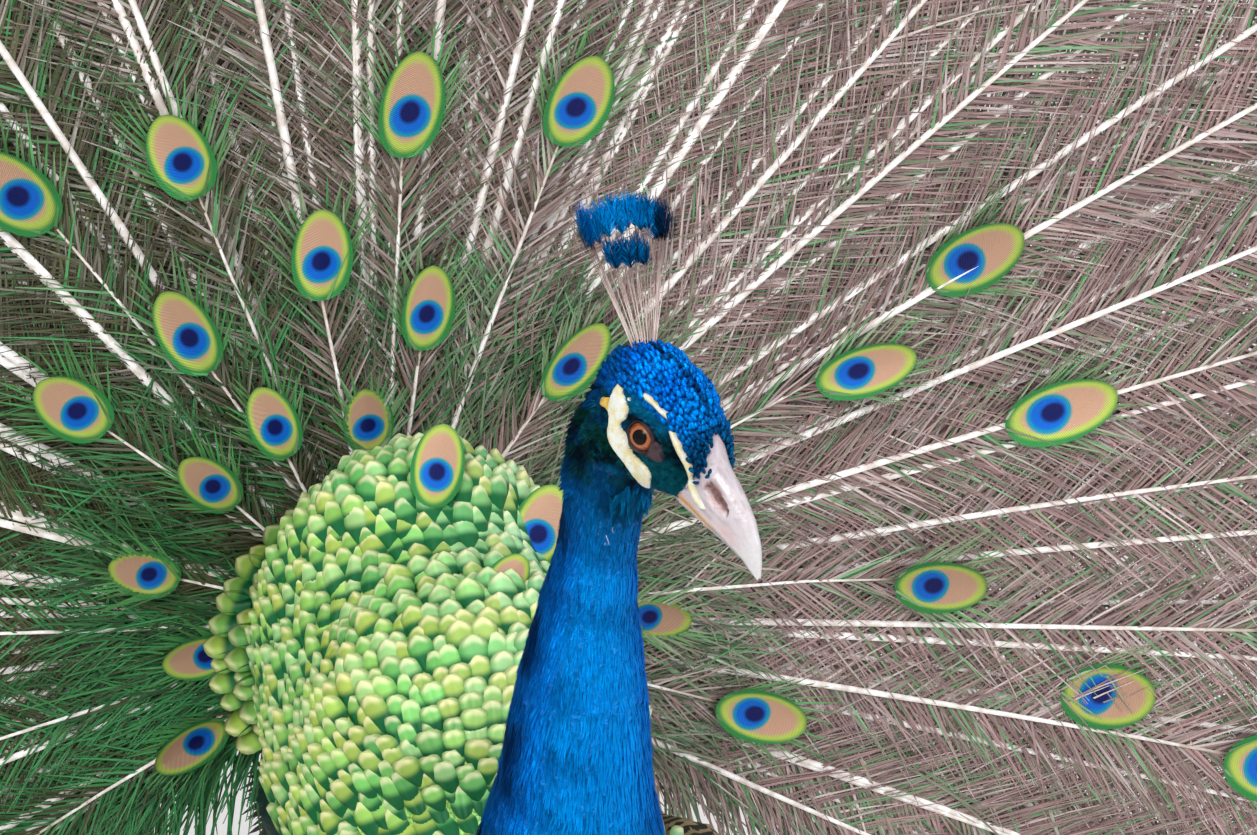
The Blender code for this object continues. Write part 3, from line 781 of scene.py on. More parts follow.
def plumage_tone(points, normals, form):
    head = in_head(points)
    x, _, z = head.T
    # The head: azure crown, greener forehead, inky face, teal cheek, dark nape and throat.
    dull = np.maximum(0.85 * smooth(11, 23, x), 0.6 * smooth(9, 3, z - brow(x)) * smooth(-4, -20, x))
    crown = layered(
        AZURE,
        (COBALT, 0.5 + 0.5 * blotches(points, 0.011, 3)),
        (tone(4, 52, 70), dull),
        # Painted shade along the crown's wavy parting line, on the skin and the beads beside it.
        (INKY, 0.85 * smooth(1.9, 0.6, off_parting(head)) * smooth(17, 12, x)))
    back = smooth(-12, -19, x) * smooth(-26, -10, z)
    face = layered(
        INKY,
        (TEAL, smooth(7.5, 10.5, np.hypot(x - 1, z - 1.7)) * smooth(4, -2, z)),
        (tone(2, 62, 106), 0.8 * back * blotches(points, 0.008, 4)),
        (COBALT, 0.75 * back * smooth(2, 12, z) + 0.35 * smooth(-14, -24, z) * blotches(points, 0.006, 5)),
        (tone(6, 104, 150), 0.8 * smooth(6.0, 9.5, z) * smooth(-14, -8, x) * smooth(14, 8, x)),
        # Painted shade: a near-black oval behind the crescent, at the ear opening.
        (tone(7, 8, 11), 0.9 * smooth(1.5, 0.7, np.hypot((x + 14.5) / 3.6, (z + 3.0) / 5.5))),
        (BOTTLE, 0.8 * smooth(-13, -17, z) * smooth(-20, 2, x) * blotches(points, 0.007, 6)),
        (tone(6, 92, 112), 0.6 * smooth(-18, -24, z) * smooth(-22, -12, x)))
    on_head = blend(face, crown, smooth(-1.2, 0.8, z - brow(x)))
    # The neck: azure, with painted shade: cobalt towards its sides and navy at the nape and on the left side,
    # broken into dark streaks.
    nape = smooth(-0.1, 0.85, normals @ np.array([-0.62, 0.78, 0.0]))
    side = smooth(0.45, 0.95, np.abs(normals[:, 0]))
    streaks = smooth(0.46, 0.74, blotches(points * np.array([1.5, 1.5, 0.6]), 0.013, 8))
    collar = smooth(-44, -24, z + 0.35 * (x + 10))
    on_neck = layered(
        AZURE,
        (COBALT, np.clip(0.15 + 0.6 * side, 0, 1)),
        (NAVY, np.clip(0.85 * nape * streaks + 0.35 * nape, 0, 0.92)),
        (NAVY, 0.35 * smooth(0.6, 0.85, blotches(points, 0.02, 9))),
        (tone(2, 74, 122), 0.75 * smooth(-75, -42, z)),
        (INKY, collar * (0.55 + 0.45 * smooth(0.25, 0.6, blotches(points, 0.008, 10)))),
        (BOTTLE, 0.6 * collar * smooth(0.5, 0.8, blotches(points, 0.006, 14))))
    low = np.maximum(smooth(0.42, 0.35, points[:, 2] - 0.12 * points[:, 1]), smooth(-0.06, 0.0, points[:, 1]))
    on_trunk = layered(on_neck, (BELLY, low), (BOTTLE, 0.7 * blotches(points, 0.03, 11) * low))
    # The shield of scales: green, golden on the bird's right, and paler on its left, where the pale is
    # painted light.
    on_shield = layered(
        LIME,
        (tone(220, 255, 212), smooth(-0.03, 0.04, points[:, 0]) * 0.95),
        (GOLD, 0.75 * np.clip(0.15 - 7.5 * points[:, 0] + 0.9 * (blotches(points, 0.03, 12) - 0.5), 0, 1)),
        (FERN, 0.40 * smooth(0.4, 0.8, blotches(points, 0.02, 13))),
        (tone(92, 128, 50), 0.35 * smooth(0.52, 0.60, points[:, 2])))
    parts = [on_head, on_neck, on_trunk, on_shield, DOWN, tone(150, 128, 98), BUFF]
    return np.choose(form[:, None], parts)


BILL_ROOT = np.array([34.0, 0.0, -6.0])  # mm of the head frame
SHOULDER = np.array([0.0, -0.13, 0.34])


def plumage_flow(points, form):
    """The way the feathers lie, before it is smoothed."""
    over_head = (in_head(points) - BILL_ROOT) @ HEAD_TURN_ONLY.T
    spine = np.array([[x, y, z] for x, y, z, _ in NECK]) + np.array(PLACE)
    middles = (spine[:-1] + spine[1:])[None] / 2
    nearest = np.argmin(np.linalg.norm(points[:, None] - middles, axis=2), axis=1)
    down_neck = (spine[:-1] - spine[1:])[nearest]
    back = 0.25 + 6 * np.clip(points[:, 1] + 0.11, 0, 0.12)
    down_trunk = np.stack([0 * back, back, 0 * back - 0.8], 1)
    ways = [unit(over_head), unit(down_neck), unit(down_trunk), unit(points - SHOULDER)]
    return np.choose(form[:, None], ways + [(0.0, 0.55, -0.85), (0.0, 0.85, -0.5), (0.0, 0.3, -1.0)])


skin_tone = even_out(plumage_tone(surface.points, surface.normals, skin_form), 2)
skin_flow = even_out(plumage_flow(surface.points, skin_form), 25)
skin_flow = unit(skin_flow - surface.normals * (skin_flow * surface.normals).sum(1, keepdims=True))
store_tone(skin.data, skin_tone)
store(skin.data, "flow", "FLOAT_VECTOR", skin_flow)
print("toned", len(skin_tone), "points of skin")

# %% [markdown]
# ## Feather finishes
# What the finishes share is one shader group, Vane lines. From a feather's own map it gives the
# fine barbs, the foot hidden under its neighbours, the shaft and the rim. Each material then uses
# them with its own counts and colours; most paint shade darker on the foot, under the neighbours,
# and in the gaps between the barbs. The barbs' shine is part metallic, as structural colour is,
# with a soft roughness.


# %% The Vane lines group
def calc(tree, operation, *inputs, clamp=False):
    return add(tree, "ShaderNodeMath", {"operation": operation, "use_clamp": clamp}, inputs).outputs[0]


def part(tree, value, share):
    return calc(tree, "MULTIPLY", value, share)


def rest(tree, value):
    return calc(tree, "SUBTRACT", 1.0, value)


def step(tree, value, low, high):
    return add(tree, "ShaderNodeMapRange", {"interpolation_type": "SMOOTHSTEP"},
               {"Value": value, "From Min": low, "From Max": high}).outputs[0]


def mixed(tree, share, a, b, how="MIX"):
    a, b = ((*v, 1.0) if isinstance(v, np.ndarray) else v for v in (a, b))
    settings = {"data_type": "RGBA", "blend_type": how}
    return add(tree, "ShaderNodeMix", settings, {0: share, 6: a, 7: b}).outputs[2]


def make_vane_lines():
    tree, given, out = new_tree("Vane lines", "ShaderNodeTree", [
        ("Vane", "NodeSocketVector", None),
        ("Barbs", "NodeSocketFloat", 30.0),
        ("Slant", "NodeSocketFloat", 4.0),
    ], [("Height", "NodeSocketFloat"), ("Foot", "NodeSocketFloat"), ("Shaft", "NodeSocketFloat"),
        ("Rim", "NodeSocketFloat"), ("Across", "NodeSocketFloat"), ("Along", "NodeSocketFloat")])
    split = add(tree, "ShaderNodeSeparateXYZ", None, [given.outputs["Vane"]])
    across = calc(tree, "ABSOLUTE", calc(tree, "MULTIPLY_ADD", split.outputs[0], 2.0, -1.0))
    along = split.outputs[1]
    lean = part(tree, across, given.outputs["Slant"])
    phase = calc(tree, "SUBTRACT", part(tree, along, given.outputs["Barbs"]), lean)
    wave = calc(tree, "SINE", part(tree, phase, 6.2832))
    edge = part(tree, step(tree, across, 0.62, 1.0), step(tree, along, 0.3, 0.5))
    found = [
        calc(tree, "MULTIPLY_ADD", wave, 0.5, 0.5),
        rest(tree, step(tree, along, 0.0, 0.6)),
        rest(tree, step(tree, across, 0.04, 0.12)),
        calc(tree, "MAXIMUM", edge, step(tree, along, 0.80, 1.0)),
        across,
        along,
    ]
    for k, socket in enumerate(found):
        tree.links.new(socket, out.inputs[k])
    return tree


VANE_LINES = make_vane_lines()


# %% Finishes for plumage
def start_finish(name, **plain):
    """A material whose plain settings sit on the shader's own sockets."""
    made = bpy.data.materials.new(name)
    made.use_nodes = True
    shader = made.node_tree.nodes["Principled BSDF"]
    for label, value in plain.items():
        shader.inputs[label.replace("_", " ")].default_value = value
    return made, made.node_tree, shader


def vane_map(tree):
    return add(tree, "ShaderNodeUVMap", {"uv_map": "Vane"}).outputs[0]


def vane_lines(tree, barbs, slant):
    return add(tree, "ShaderNodeGroup", {"node_tree": VANE_LINES},
               {"Vane": vane_map(tree), "Barbs": barbs, "Slant": slant}).outputs


# Painted shade in the gaps between barbs, as a share of full darkness.
def shade_between_barbs(tree, vane, share):
    return part(tree, rest(tree, vane["Height"]), share)


def own_tone(tree):
    """The colour that each feather or point carries."""
    settings = {"attribute_type": "GEOMETRY", "attribute_name": "tone"}
    return add(tree, "ShaderNodeAttribute", settings).outputs["Color"]


def own_place(tree):
    return add(tree, "ShaderNodeTexCoord").outputs["Object"]


def oval(tree, laid, centre, radii):
    """1 on the oval's edge, less within it."""
    placed = add(tree, "ShaderNodeMapping", {"vector_type": "TEXTURE"}, {
        "Vector": laid, "Location": (*centre, 0.0), "Scale": (*radii, 1.0)})
    return add(tree, "ShaderNodeVectorMath", {"operation": "LENGTH"}, [placed.outputs[0]]).outputs["Value"]


def grain(tree, scale, low=0.3, high=0.7, detail=2.0):
    noise = add(tree, "ShaderNodeTexNoise", None,
                {"Vector": own_place(tree), "Scale": scale, "Detail": detail})
    return step(tree, noise.outputs["Fac"], low, high)


def dress(tree, shader, colour, height=None, distance=0.0, strength=0.5):
    """Gives the shader its colour and, where there is a height, its relief."""
    tree.links.new(colour, shader.inputs["Base Color"])
    if height is not None:
        relief = add(tree, "ShaderNodeBump", None,
                     {"Strength": strength, "Distance": distance, "Height": height})
        tree.links.new(relief.outputs[0], shader.inputs["Normal"])


def feather_finish(name, barbs, slant, foot, lines, depth, flecks=500.0, rim=0.0, **plain):
    """Foot, lines and rim, 0 to 1, paint shade on the hidden base under the neighbours, in the gaps between
    barbs and round the edge.
    """
    made, tree, shader = start_finish(name, **plain)
    vane = vane_lines(tree, barbs, slant)
    dark = calc(tree, "MAXIMUM", part(tree, vane["Foot"], foot), shade_between_barbs(tree, vane, lines))
    if rim:
        dark = calc(tree, "MAXIMUM", part(tree, vane["Rim"], rim), dark)
    shade = mixed(tree, dark, own_tone(tree), np.zeros(3))
    colour = mixed(tree, part(tree, grain(tree, flecks), 0.35), shade, np.ones(3), "SOFT_LIGHT")
    dress(tree, shader, colour, vane["Height"], depth)
    return made


BLUE_SHEEN = dict(Specular_IOR_Level=0.12, Specular_Tint=(0.10, 0.45, 0.9, 1.0))
SILK_FINISH = feather_finish("silky blue plumage", 9, 6, 0.40, 0.22, 0.0003,
                             Roughness=0.45, Metallic=0.70, **BLUE_SHEEN)
# The crown's beads also get painted shade round their rims.
BEAD_FINISH = feather_finish("curled crown plumage", 6, 2, 0.80, 0.18, 0.0002, rim=0.75,
                             Roughness=0.30, Metallic=0.65, **BLUE_SHEEN)
VELVET_FINISH = feather_finish("velvet face plumage", 8, 2, 0.5, 0.2, 0.0002,
                               Roughness=0.40, Metallic=0.6, **BLUE_SHEEN)
BODY_FINISH = feather_finish("dark body plumage", 26, 5, 0.6, 0.35, 0.0004, 120.0,
                             Roughness=0.5, Metallic=0.3, Specular_IOR_Level=0.2)
SOFT_FINISH = feather_finish("matt downy plumage", 20, 5, 0.35, 0.25, 0.0004, 120.0, Roughness=0.85)


def make_skin_finish():
    made, tree, shader = start_finish("skin under the plumage", Roughness=0.7, Specular_IOR_Level=0.1)
    rough = grain(tree, 900.0)
    dress(tree, shader, mixed(tree, part(tree, rough, 0.6), own_tone(tree), INKY), rough, 0.0006)
    return made


def give(piece, finish):
    """Leaves the piece with this finish alone, shaded smooth."""
    piece.data.materials.clear()
    piece.data.materials.append(finish)
    piece.data.shade_smooth()


give(skin, make_skin_finish())
print("finishes", [made.name for made in bpy.data.materials])

# %% [markdown]
# ## Eyes
# The eyeball is a sphere whose pole looks out, so one map, around and outwards, can draw pupil,
# iris fibres and the dark limbus. The lids are a ring lofted from just over the ball, across a
# rounded rim, and out to the face.


# %% Eyeballs
def side_axes(side):
    """The eye's centre, and its outward, forward and upward axes, in the head frame."""
    look = across(EYE_LOOK, side).normalized()
    forward = (Vector((1, 0, 0)) - look * look.x).normalized()
    upward = (Vector((0, 0, 1)) - look * look.z - forward * forward.z).normalized()
    return np.array(across(EYE_AT, side)), np.array(look), np.array(forward), np.array(upward)


def from_eye(head, side):
    """How far points of the head frame are off the eye's axis, and how far out along it."""
    centre, look, _, _ = side_axes(side)
    apart = head - centre
    return np.linalg.norm(apart - (apart @ look)[:, None] * look, axis=1), apart @ look


def in_plane(a, b, forward, upward):
    return a[:, None] * forward + b[:, None] * upward


BALL, IRIS, PUPIL = 6.95, 5.45, 2.85  # radii in mm
CORNEA_RISE = 0.35


def mesh_piece(name, points, faces, finish, uvs=None):
    mesh = bpy.data.meshes.new(name)
    mesh.from_pydata(np.asarray(points).tolist(), [], [[int(i) for i in f] for f in faces])
    if uvs is not None:
        laid = np.asarray(uvs, float)[read(mesh.loops, "vertex_index", kind=int)]
        mesh.uv_layers.new(name="Vane").data.foreach_set("uv", laid.ravel())
    made = placed(name, mesh)
    give(made, finish)
    return made


def turn_out(piece):
    """Faces point outwards and doubled points are merged."""
    work = bmesh.new()
    work.from_mesh(piece.data)
    bmesh.ops.remove_doubles(work, verts=work.verts, dist=1e-6)
    bmesh.ops.recalc_face_normals(work, faces=work.faces)
    work.to_mesh(piece.data)
    work.free()
    piece.data.shade_smooth()
    return piece


def loft(rings, close_first=False, close_last=False):
    """(points, faces) through rings with the same number of points."""
    count = len(rings[0])
    faces = []
    for j in range(len(rings) - 1):
        for i in range(count):
            k = (i + 1) % count
            faces.append((j * count + i, j * count + k, (j + 1) * count + k, (j + 1) * count + i))
    if close_first:
        faces.append(list(range(count))[::-1])
    if close_last:
        faces.append([(len(rings) - 1) * count + i for i in range(count)])
    return np.vstack(rings), faces


def make_eye_finish():
    made, tree, shader = start_finish("wet amber brown eye", Roughness=0.5, Specular_IOR_Level=0.05,
                                      Coat_Weight=0.38, Coat_Roughness=0.02, Coat_IOR=1.33)
    laid = vane_map(tree)
    out = add(tree, "ShaderNodeSeparateXYZ", None, [laid]).outputs[1]
    drawn = add(tree, "ShaderNodeMapping", None, {"Vector": laid, "Scale": (60.0, 4.0, 1.0)}).outputs[0]
    fibres = add(tree, "ShaderNodeTexNoise", {"noise_dimensions": "2D"},
                 {"Vector": drawn, "Scale": 1.0, "Detail": 3.0})
    iris = mixed(tree, step(tree, fibres.outputs["Fac"], 0.3, 0.7), tone(98, 46, 24), tone(150, 84, 52))
    ring = part(tree, step(tree, out, 0.38, 0.5), rest(tree, step(tree, out, 0.56, 0.66)))
    iris = mixed(tree, part(tree, ring, 0.55), iris, tone(178, 112, 76))
    iris = mixed(tree, step(tree, out, PUPIL / BALL, PUPIL / BALL + 0.025), tone(5, 4, 4), iris)
    dress(tree, shader, mixed(tree, step(tree, out, IRIS / BALL - 0.05, IRIS / BALL), iris, tone(14, 8, 8)))
    return made


def make_eyeball(side, which, finish):
    centre, look, forward, upward = side_axes(side)
    turn = np.linspace(0, 2 * math.pi, 48, endpoint=False)
    rings, uvs = [], []
    for out in np.r_[0.0, np.linspace(0.06, 0.98, 30)]:
        cornea = CORNEA_RISE * max(0.0, 1 - (out * BALL / IRIS) ** 2)
        depth = math.sqrt(1 - out * out) * BALL + cornea
        ring = in_plane(np.cos(turn), np.sin(turn), forward, upward)
        rings.append(centre + look * depth + out * BALL * ring)
        uvs += [(t / 2 / math.pi, out) for t in turn]
    points, faces = loft(rings, close_last=True)
    made = mesh_piece("eyeball_" + which, from_head(points), faces, finish, uvs)
    return ride_on(turn_out(made), "eye", "eye_" + which)


EYE_FINISH = make_eye_finish()
for side, which in SIDES:
    ball = make_eyeball(side, which, EYE_FINISH)
    print(ball.name, [round(1000 * v, 1) for v in ball.dimensions], "mm")

# %% Sink the skin behind the eyes
skin_points = surface.points.copy()
for side, _ in SIDES:
    off_axis, out = from_eye(skin_head, side)
    look = side_axes(side)[1]
    sink = 4.5 * smooth(7.4, 5.4, off_axis) * (out > 0)
    skin_points -= sink[:, None] * MM * (look @ HEAD_TURN_ONLY.T)
skin.data.vertices.foreach_set("co", skin_points.ravel())
skin.data.update()
print("skin sunk by", round(1000 * np.abs(skin_points - surface.points).max(), 1), "mm at most")

# %% [markdown]
# ## Bill
# Horn over bone, with a ridge that falls in one curve to a hooked tip. Both halves are lofted from
# the same profiles as the solids, but finely enough to sink the nostril and to carry the tone of
# each point: clean horn, a yellow edge towards the gape and a warm hollow in the nostril, with
# painted shade deep inside it.


# %% Bill profiles
UPPER_EDGE = ((10, 14, 30, 45, 57, 65), (-10, -10, -10.8, -12.2, -14.2, -18.2))
UPPER_RIDGE = ((10, 20, 22, 24, 26, 28, 31, 36, 42, 51, 58, 62.5, 65),
               (15, 15.2, 14.8, 13.4, 11.6, 10.0, 8.2, 6.6, 4.4, -0.3, -6.3, -12.3, -17.0))
UPPER_WIDE = ((10, 14, 24, 38, 50, 60, 65), (7, 7.6, 9.3, 7.6, 5.4, 3.0, 0.9))
LOWER_KEEL = ((10, 14, 32, 48, 58), (-16.6, -16.8, -16.4, -15.5, -14.9))
LOWER_WIDE = ((10, 14, 24, 48, 58), (6, 6.6, 8.2, 4.6, 0.7))


def nostril(x, y, z):
    """1 in the slot's hollow on the bill's side, 0 outside it."""
    along = (x - 29.6) / 14.6
    half = np.interp(along, (0, 0.10, 0.45, 0.8, 1), (0.3, 2.3, 2.5, 1.8, 0.3))
    off = np.abs(z - (1.4 - 4.4 * along + 1.6 * along * (1 - along))) / half
    slot = smooth(1.1, 0.6, off) * smooth(-0.02, 0.08, along) * smooth(1.02, 0.9, along)
    return slot * (np.abs(y) > 1.2)


def bill_rings(upper):
    """Rings of 41 points round the outside and 9 across the side that faces the other half."""
    tip, count, widths = (64.9, 22, UPPER_WIDE) if upper else (58.0, 5, LOWER_WIDE)
    turn = np.linspace(0, math.pi, 41)
    rings = []
    for x in np.r_[np.arange(10.0, 56.0, 0.55), np.linspace(56.2, tip, count)]:
        edge, wide = np.interp(x, *UPPER_EDGE), np.interp(x, *widths)
        inner_y = np.linspace(-0.94, 0.94, 9) * wide
        y = wide * np.cos(turn)
        if upper:
            z = edge + (np.interp(x, *UPPER_RIDGE) - edge) * np.sin(turn) ** 0.85
            bulge = 0.55 * np.exp(-(((z + 5.2) / 2.2) ** 2)) * smooth(27, 31, x) * smooth(44, 36, x)
            y = y * (1 - 1.55 * nostril(x, y, z) / np.maximum(wide, 1.0)) + np.sign(y) * bulge
            inner_z = edge + 0.8 * (1 - (inner_y / wide) ** 2) + 0.05
        else:
            z = edge - 0.35 - (edge - 0.35 - np.interp(x, *LOWER_KEEL)) * np.sin(turn) ** 0.9
            inner_z = np.full(9, edge - 0.6)
        rings.append(np.c_[np.full(50, x), np.r_[y, inner_y], np.r_[z, inner_z]])
    return rings


def bill_tone(points, upper):
    x, y, z = points.T
    streaks = blotches(points * np.array([0.16, 1.0, 1.0]), 1.1, 22)
    edge = np.interp(x, *UPPER_EDGE)
    near_edge = (z - edge) if upper else (edge - z)
    yellow = smooth(2.2, 0.6, near_edge) * smooth(45, 37, x) * smooth(20, 26, x)
    warm = np.exp(-(((x - 47) / 4.5) ** 2) - ((near_edge - 3.4) / 1.5) ** 2) if upper else 0 * x
    hollow = nostril(x, y, z) * upper
    return layered(
        tone(184, 177, 182),
        (tone(150, 138, 148), 0.75 * smooth(46, 26, x) * (0.35 + 0.65 * blotches(points, 6.0, 21))),
        (tone(190, 189, 191), smooth(48, 60, x)),
        (tone(134, 112, 116), 0.45 * smooth(0.5, 0.8, streaks) * smooth(58, 40, x)),
        (tone(226, 160, 52), 0.95 * yellow),
        (tone(190, 140, 136), 0.6 * warm),
        # The nostril's hollow: a warm lining, and painted shade in its depth.
        (tone(132, 70, 66), smooth(0.1, 0.6, hollow)),
        (tone(56, 22, 20), 0.75 * smooth(0.65, 1.0, hollow)))


def make_horn_finish():
    made, tree, shader = start_finish("pale horn", Roughness=0.34, Coat_Weight=0.25, Coat_Roughness=0.2,
                                      Subsurface_Weight=0.1, Subsurface_Radius=(0.004, 0.003, 0.002))
    fine = grain(tree, 700.0, 0.25, 0.75, 4.0)
    colour = mixed(tree, part(tree, fine, 0.22), own_tone(tree), tone(176, 160, 158))
    dress(tree, shader, colour, fine, 0.00025)
    return made


HORN = make_horn_finish()
for name, upper in (("bill_upper", True), ("bill_lower", False)):
    points, faces = loft(bill_rings(upper), close_first=True, close_last=True)
    bill = mesh_piece(name + "_horn", from_head(points), faces, HORN)
    store_tone(bill.data, bill_tone(points, upper))
    ride_on(turn_out(bill), "horn", name)
    print(name, "length", round(bill.dimensions.length * 1000), "mm")
    if upper:
        bill_tree = ray_tree(bill.data)

# %% [markdown]
# ## Bare face
# White, pimpled skin shows as a broad crescent behind the eye and a narrow stripe from the bill
# over the eye, with grey skin at the front corner of the lids. Each is a thin raised sheet with a
# crisp edge: its outline is drawn in the head's side view and dropped onto the skin.


# %% Face sheets
def rounded(*outline, count=8):
    """A smooth closed line through the outline's points."""
    points = np.array(outline, float)
    t = np.linspace(0, 1, count, endpoint=False)[:, None]
    found = []
    for k in range(len(points)):
        a, b, c, d = (points[(k + j) % len(points)] for j in (-1, 0, 1, 2))
        bend, twist = 2 * a - 5 * b + 4 * c - d, 3 * b - a - 3 * c + d
        found.append(0.5 * (2 * b + (c - a) * t + bend * t**2 + twist * t**3))
    return np.vstack(found)


def inside(outline, x, z):
    found = np.zeros(np.shape(x), bool)
    for (x1, z1), (x2, z2) in zip(outline, np.roll(outline, -1, axis=0)):
        crosses = (z1 > z) != (z2 > z)
        at = x1 + (z - z1) / np.where(z2 == z1, 1e-9, z2 - z1) * (x2 - x1)
        found ^= crosses & (x < at)
    return found


def head_way(x, y, z):
    """A way in the head frame, turned into the world's and with its length in mm."""
    return Vector(from_head([(x, y, z)])[0] - from_head([(0, 0, 0)])[0])


def from_the_side(x, z, side, lift):
    """Where a line from the bird's side meets the skin, in the head frame, lifted off it."""
    way = head_way(0, -side, 0).normalized()
    found = []
    for a, b, up in zip(x, z, lift):
        start = Vector(from_head([(a, 60.0 * side, b)])[0])
        hits = [tree.ray_cast(start, way) for tree in (surface.tree, bill_tree)]
        hits = sorted((h for h in hits if h[0] is not None), key=lambda h: h[3])
        if not hits:
            hits = [surface.tree.find_nearest(Vector(from_head([(a, 9.0 * side, b)])[0]))]
        hit, normal = hits[0][:2]
        found.append(np.array(hit + normal * up * MM))
    return np.array(found)


SHEET_CELL, SHEET_WALL = 0.45, 1.3  # mm


def grid_inside(outline):
    """Square cells inside an outline, the border's points moved onto the line:
    (points, faces, each point's distance from the line, its share of the outline's box)."""
    low, high = outline.min(0) - SHEET_CELL, outline.max(0) + SHEET_CELL
    grid_x, grid_z = np.meshgrid(*(np.arange(low[k], high[k], SHEET_CELL) for k in (0, 1)))
    kept = inside(outline, grid_x[:-1, :-1] + SHEET_CELL / 2, grid_z[:-1, :-1] + SHEET_CELL / 2)
    number = np.arange(grid_x.size).reshape(grid_x.shape)
    quads = np.stack([number[:-1, :-1], number[:-1, 1:], number[1:, 1:], number[1:, :-1]], -1)[kept]
    used, faces = np.unique(quads, return_inverse=True)
    faces = faces.reshape(-1, 4)
    flat = np.c_[grid_x.ravel(), grid_z.ravel()][used]
    gap = np.linalg.norm(flat[:, None] - outline[None], axis=2)
    border = np.bincount(faces.ravel(), minlength=len(used)) < 4
    flat[border] = outline[gap.argmin(1)[border]]
    return flat, faces, np.where(border, 0.0, gap.min(1)), (flat - low) / (high - low)


def face_sheet(name, outline, side, finish, lift, edge=0.5):
    """A raised sheet on the face. Its border is drawn down into the feathers."""
    flat, faces, distance, laid = grid_inside(outline)
    up = edge + (lift - edge) * np.sqrt(np.clip(distance / 1.1, 0.0, 1.0))
    points = from_the_side(flat[:, 0], flat[:, 1], side, up)
    made = mesh_piece(name, points, faces, finish, laid)
    work = bmesh.new()
    work.from_mesh(made.data)
    rim = [e for e in work.edges if e.is_boundary]
    skirt = bmesh.ops.extrude_edge_only(work, edges=rim)
    inward = head_way(0, -side * SHEET_WALL, 0)
    for vert in (v for v in skirt["geom"] if isinstance(v, bmesh.types.BMVert)):
        vert.co += inward
    bmesh.ops.recalc_face_normals(work, faces=work.faces)
    work.to_mesh(made.data)
    work.free()
    normals = np.array([p.normal for p in made.data.polygons])
    if (normals @ np.array(inward)).sum() > 0:
        made.data.flip_normals()
    made.data.shade_smooth()
    return ride_on(made, "horn")


def make_face_finish(name, ground, warm, pimple=2300.0, rough=0.55):
    made, tree, shader = start_finish(name, Roughness=rough, Specular_IOR_Level=0.2,
                                      Subsurface_Weight=0.08, Subsurface_Radius=(0.004, 0.0025, 0.0015))
    pores = add(tree, "ShaderNodeTexVoronoi", None, {"Vector": own_place(tree), "Scale": pimple})
    pores = pores.outputs["Distance"]
    colour = mixed(tree, grain(tree, 260.0, 0.35, 0.65), ground, warm)
    colour = mixed(tree, part(tree, step(tree, pores, 0.35, 0.75), 0.22), colour, warm * 0.45)
    dress(tree, shader, colour, rest(tree, pores), 0.00022, 0.6)
    return made


WHITE_SKIN = make_face_finish("white pimpled skin", tone(212, 216, 209), tone(206, 196, 154))
GREY_SKIN = make_face_finish("grey pink lid skin", tone(18, 15, 20), tone(72, 54, 60), 3000.0)
YELLOW_SKIN = make_face_finish("yellow face skin", tone(206, 176, 92), tone(180, 140, 62))

CRESCENT = rounded(
    (-17.3, 11.4), (-15.8, 12.6), (-12.6, 10.6), (-7.8, 7.8), (-6.9, 4.0), (-7.6, 0.9), (-5.4, -1.6),
    (-2.7, -3.2), (-0.9, -6.2), (1.6, -8.3), (4.4, -8.6), (7.3, -8.5), (10.2, -9.8), (10.7, -13.6),
    (10.4, -18.0), (8.6, -19.6), (6.1, -19.4), (1.7, -16.4), (-3.6, -12.4), (-8.3, -8.9), (-10.6, -5.9),
    (-11.7, -3.0), (-13.0, -0.7), (-14.8, 1.1), (-16.6, 4.8))
SPUR_OF_SKIN = rounded((-14.4, 5.4), (-17.6, 4.6), (-20.2, 2.2), (-19.0, -0.4), (-16.4, 0.6), (-13.4, 0.9))
STRIPE = rounded(
    (9.6, 11.4), (11.4, 12.0), (13.8, 11.0), (16.5, 9.8), (19.8, 7.7), (22.6, 4.9), (24.3, 2.0),
    (25.6, -0.8), (30.0, -3.4), (35.4, -5.8), (34.6, -6.9), (31.4, -6.5), (27.6, -5.2), (25.0, -3.4),
    (23.6, -0.4), (21.6, 2.4), (18.8, 5.2), (15.4, 7.6), (12.2, 9.6))
BROW_STRIPE = rounded((6.6, 14.4), (6.4, 15.9), (3.0, 16.2), (-1.4, 16.6), (-5.4, 16.2), (-6.9, 15.4),
                      (-4.8, 14.6), (0.4, 14.9))
LID_SKIN = rounded((7.2, 4.2), (9.0, 5.2), (11.6, 4.4), (13.9, 1.9), (13.2, -1.2), (10.6, -3.4),
                   (7.2, -4.6), (5.0, -5.4), (5.6, -1.0))
DASHES = [rounded((x - 0.8, z), (x, z + 0.6), (x + 0.9, z + 0.1), (x, z - 0.6))
          for x, z in ((-8.7, 15.5), (-9.9, 10.6))]

for side, which in SIDES:
    face_sheet("cheek_crescent_" + which, CRESCENT, side, WHITE_SKIN, 1.9)
    face_sheet("cheek_spur_" + which, SPUR_OF_SKIN, side, YELLOW_SKIN, 1.6)
    face_sheet("lore_stripe_" + which, STRIPE, side, WHITE_SKIN, 1.7)
    face_sheet("brow_stripe_" + which, BROW_STRIPE, side, WHITE_SKIN, 1.5)
    face_sheet("lid_skin_" + which, LID_SKIN, side, GREY_SKIN, 0.8, 0.2)
    for k, dash in enumerate(DASHES):
        face_sheet(f"face_dash_{k}_{which}", dash, side, WHITE_SKIN, 1.3)
print("face sheets laid")


# %% Lids
def lid_outline(turn):
    """Half opening at an angle from the forward axis: nearly round, a little drawn out in front."""
    forward, upward = np.cos(turn), np.sin(turn)
    drawn = 5.75 + 0.70 * np.clip(forward, 0, 1) ** 5 + 0.25 * np.clip(-forward, 0, 1) ** 4
    return drawn * forward, 5.4 * upward


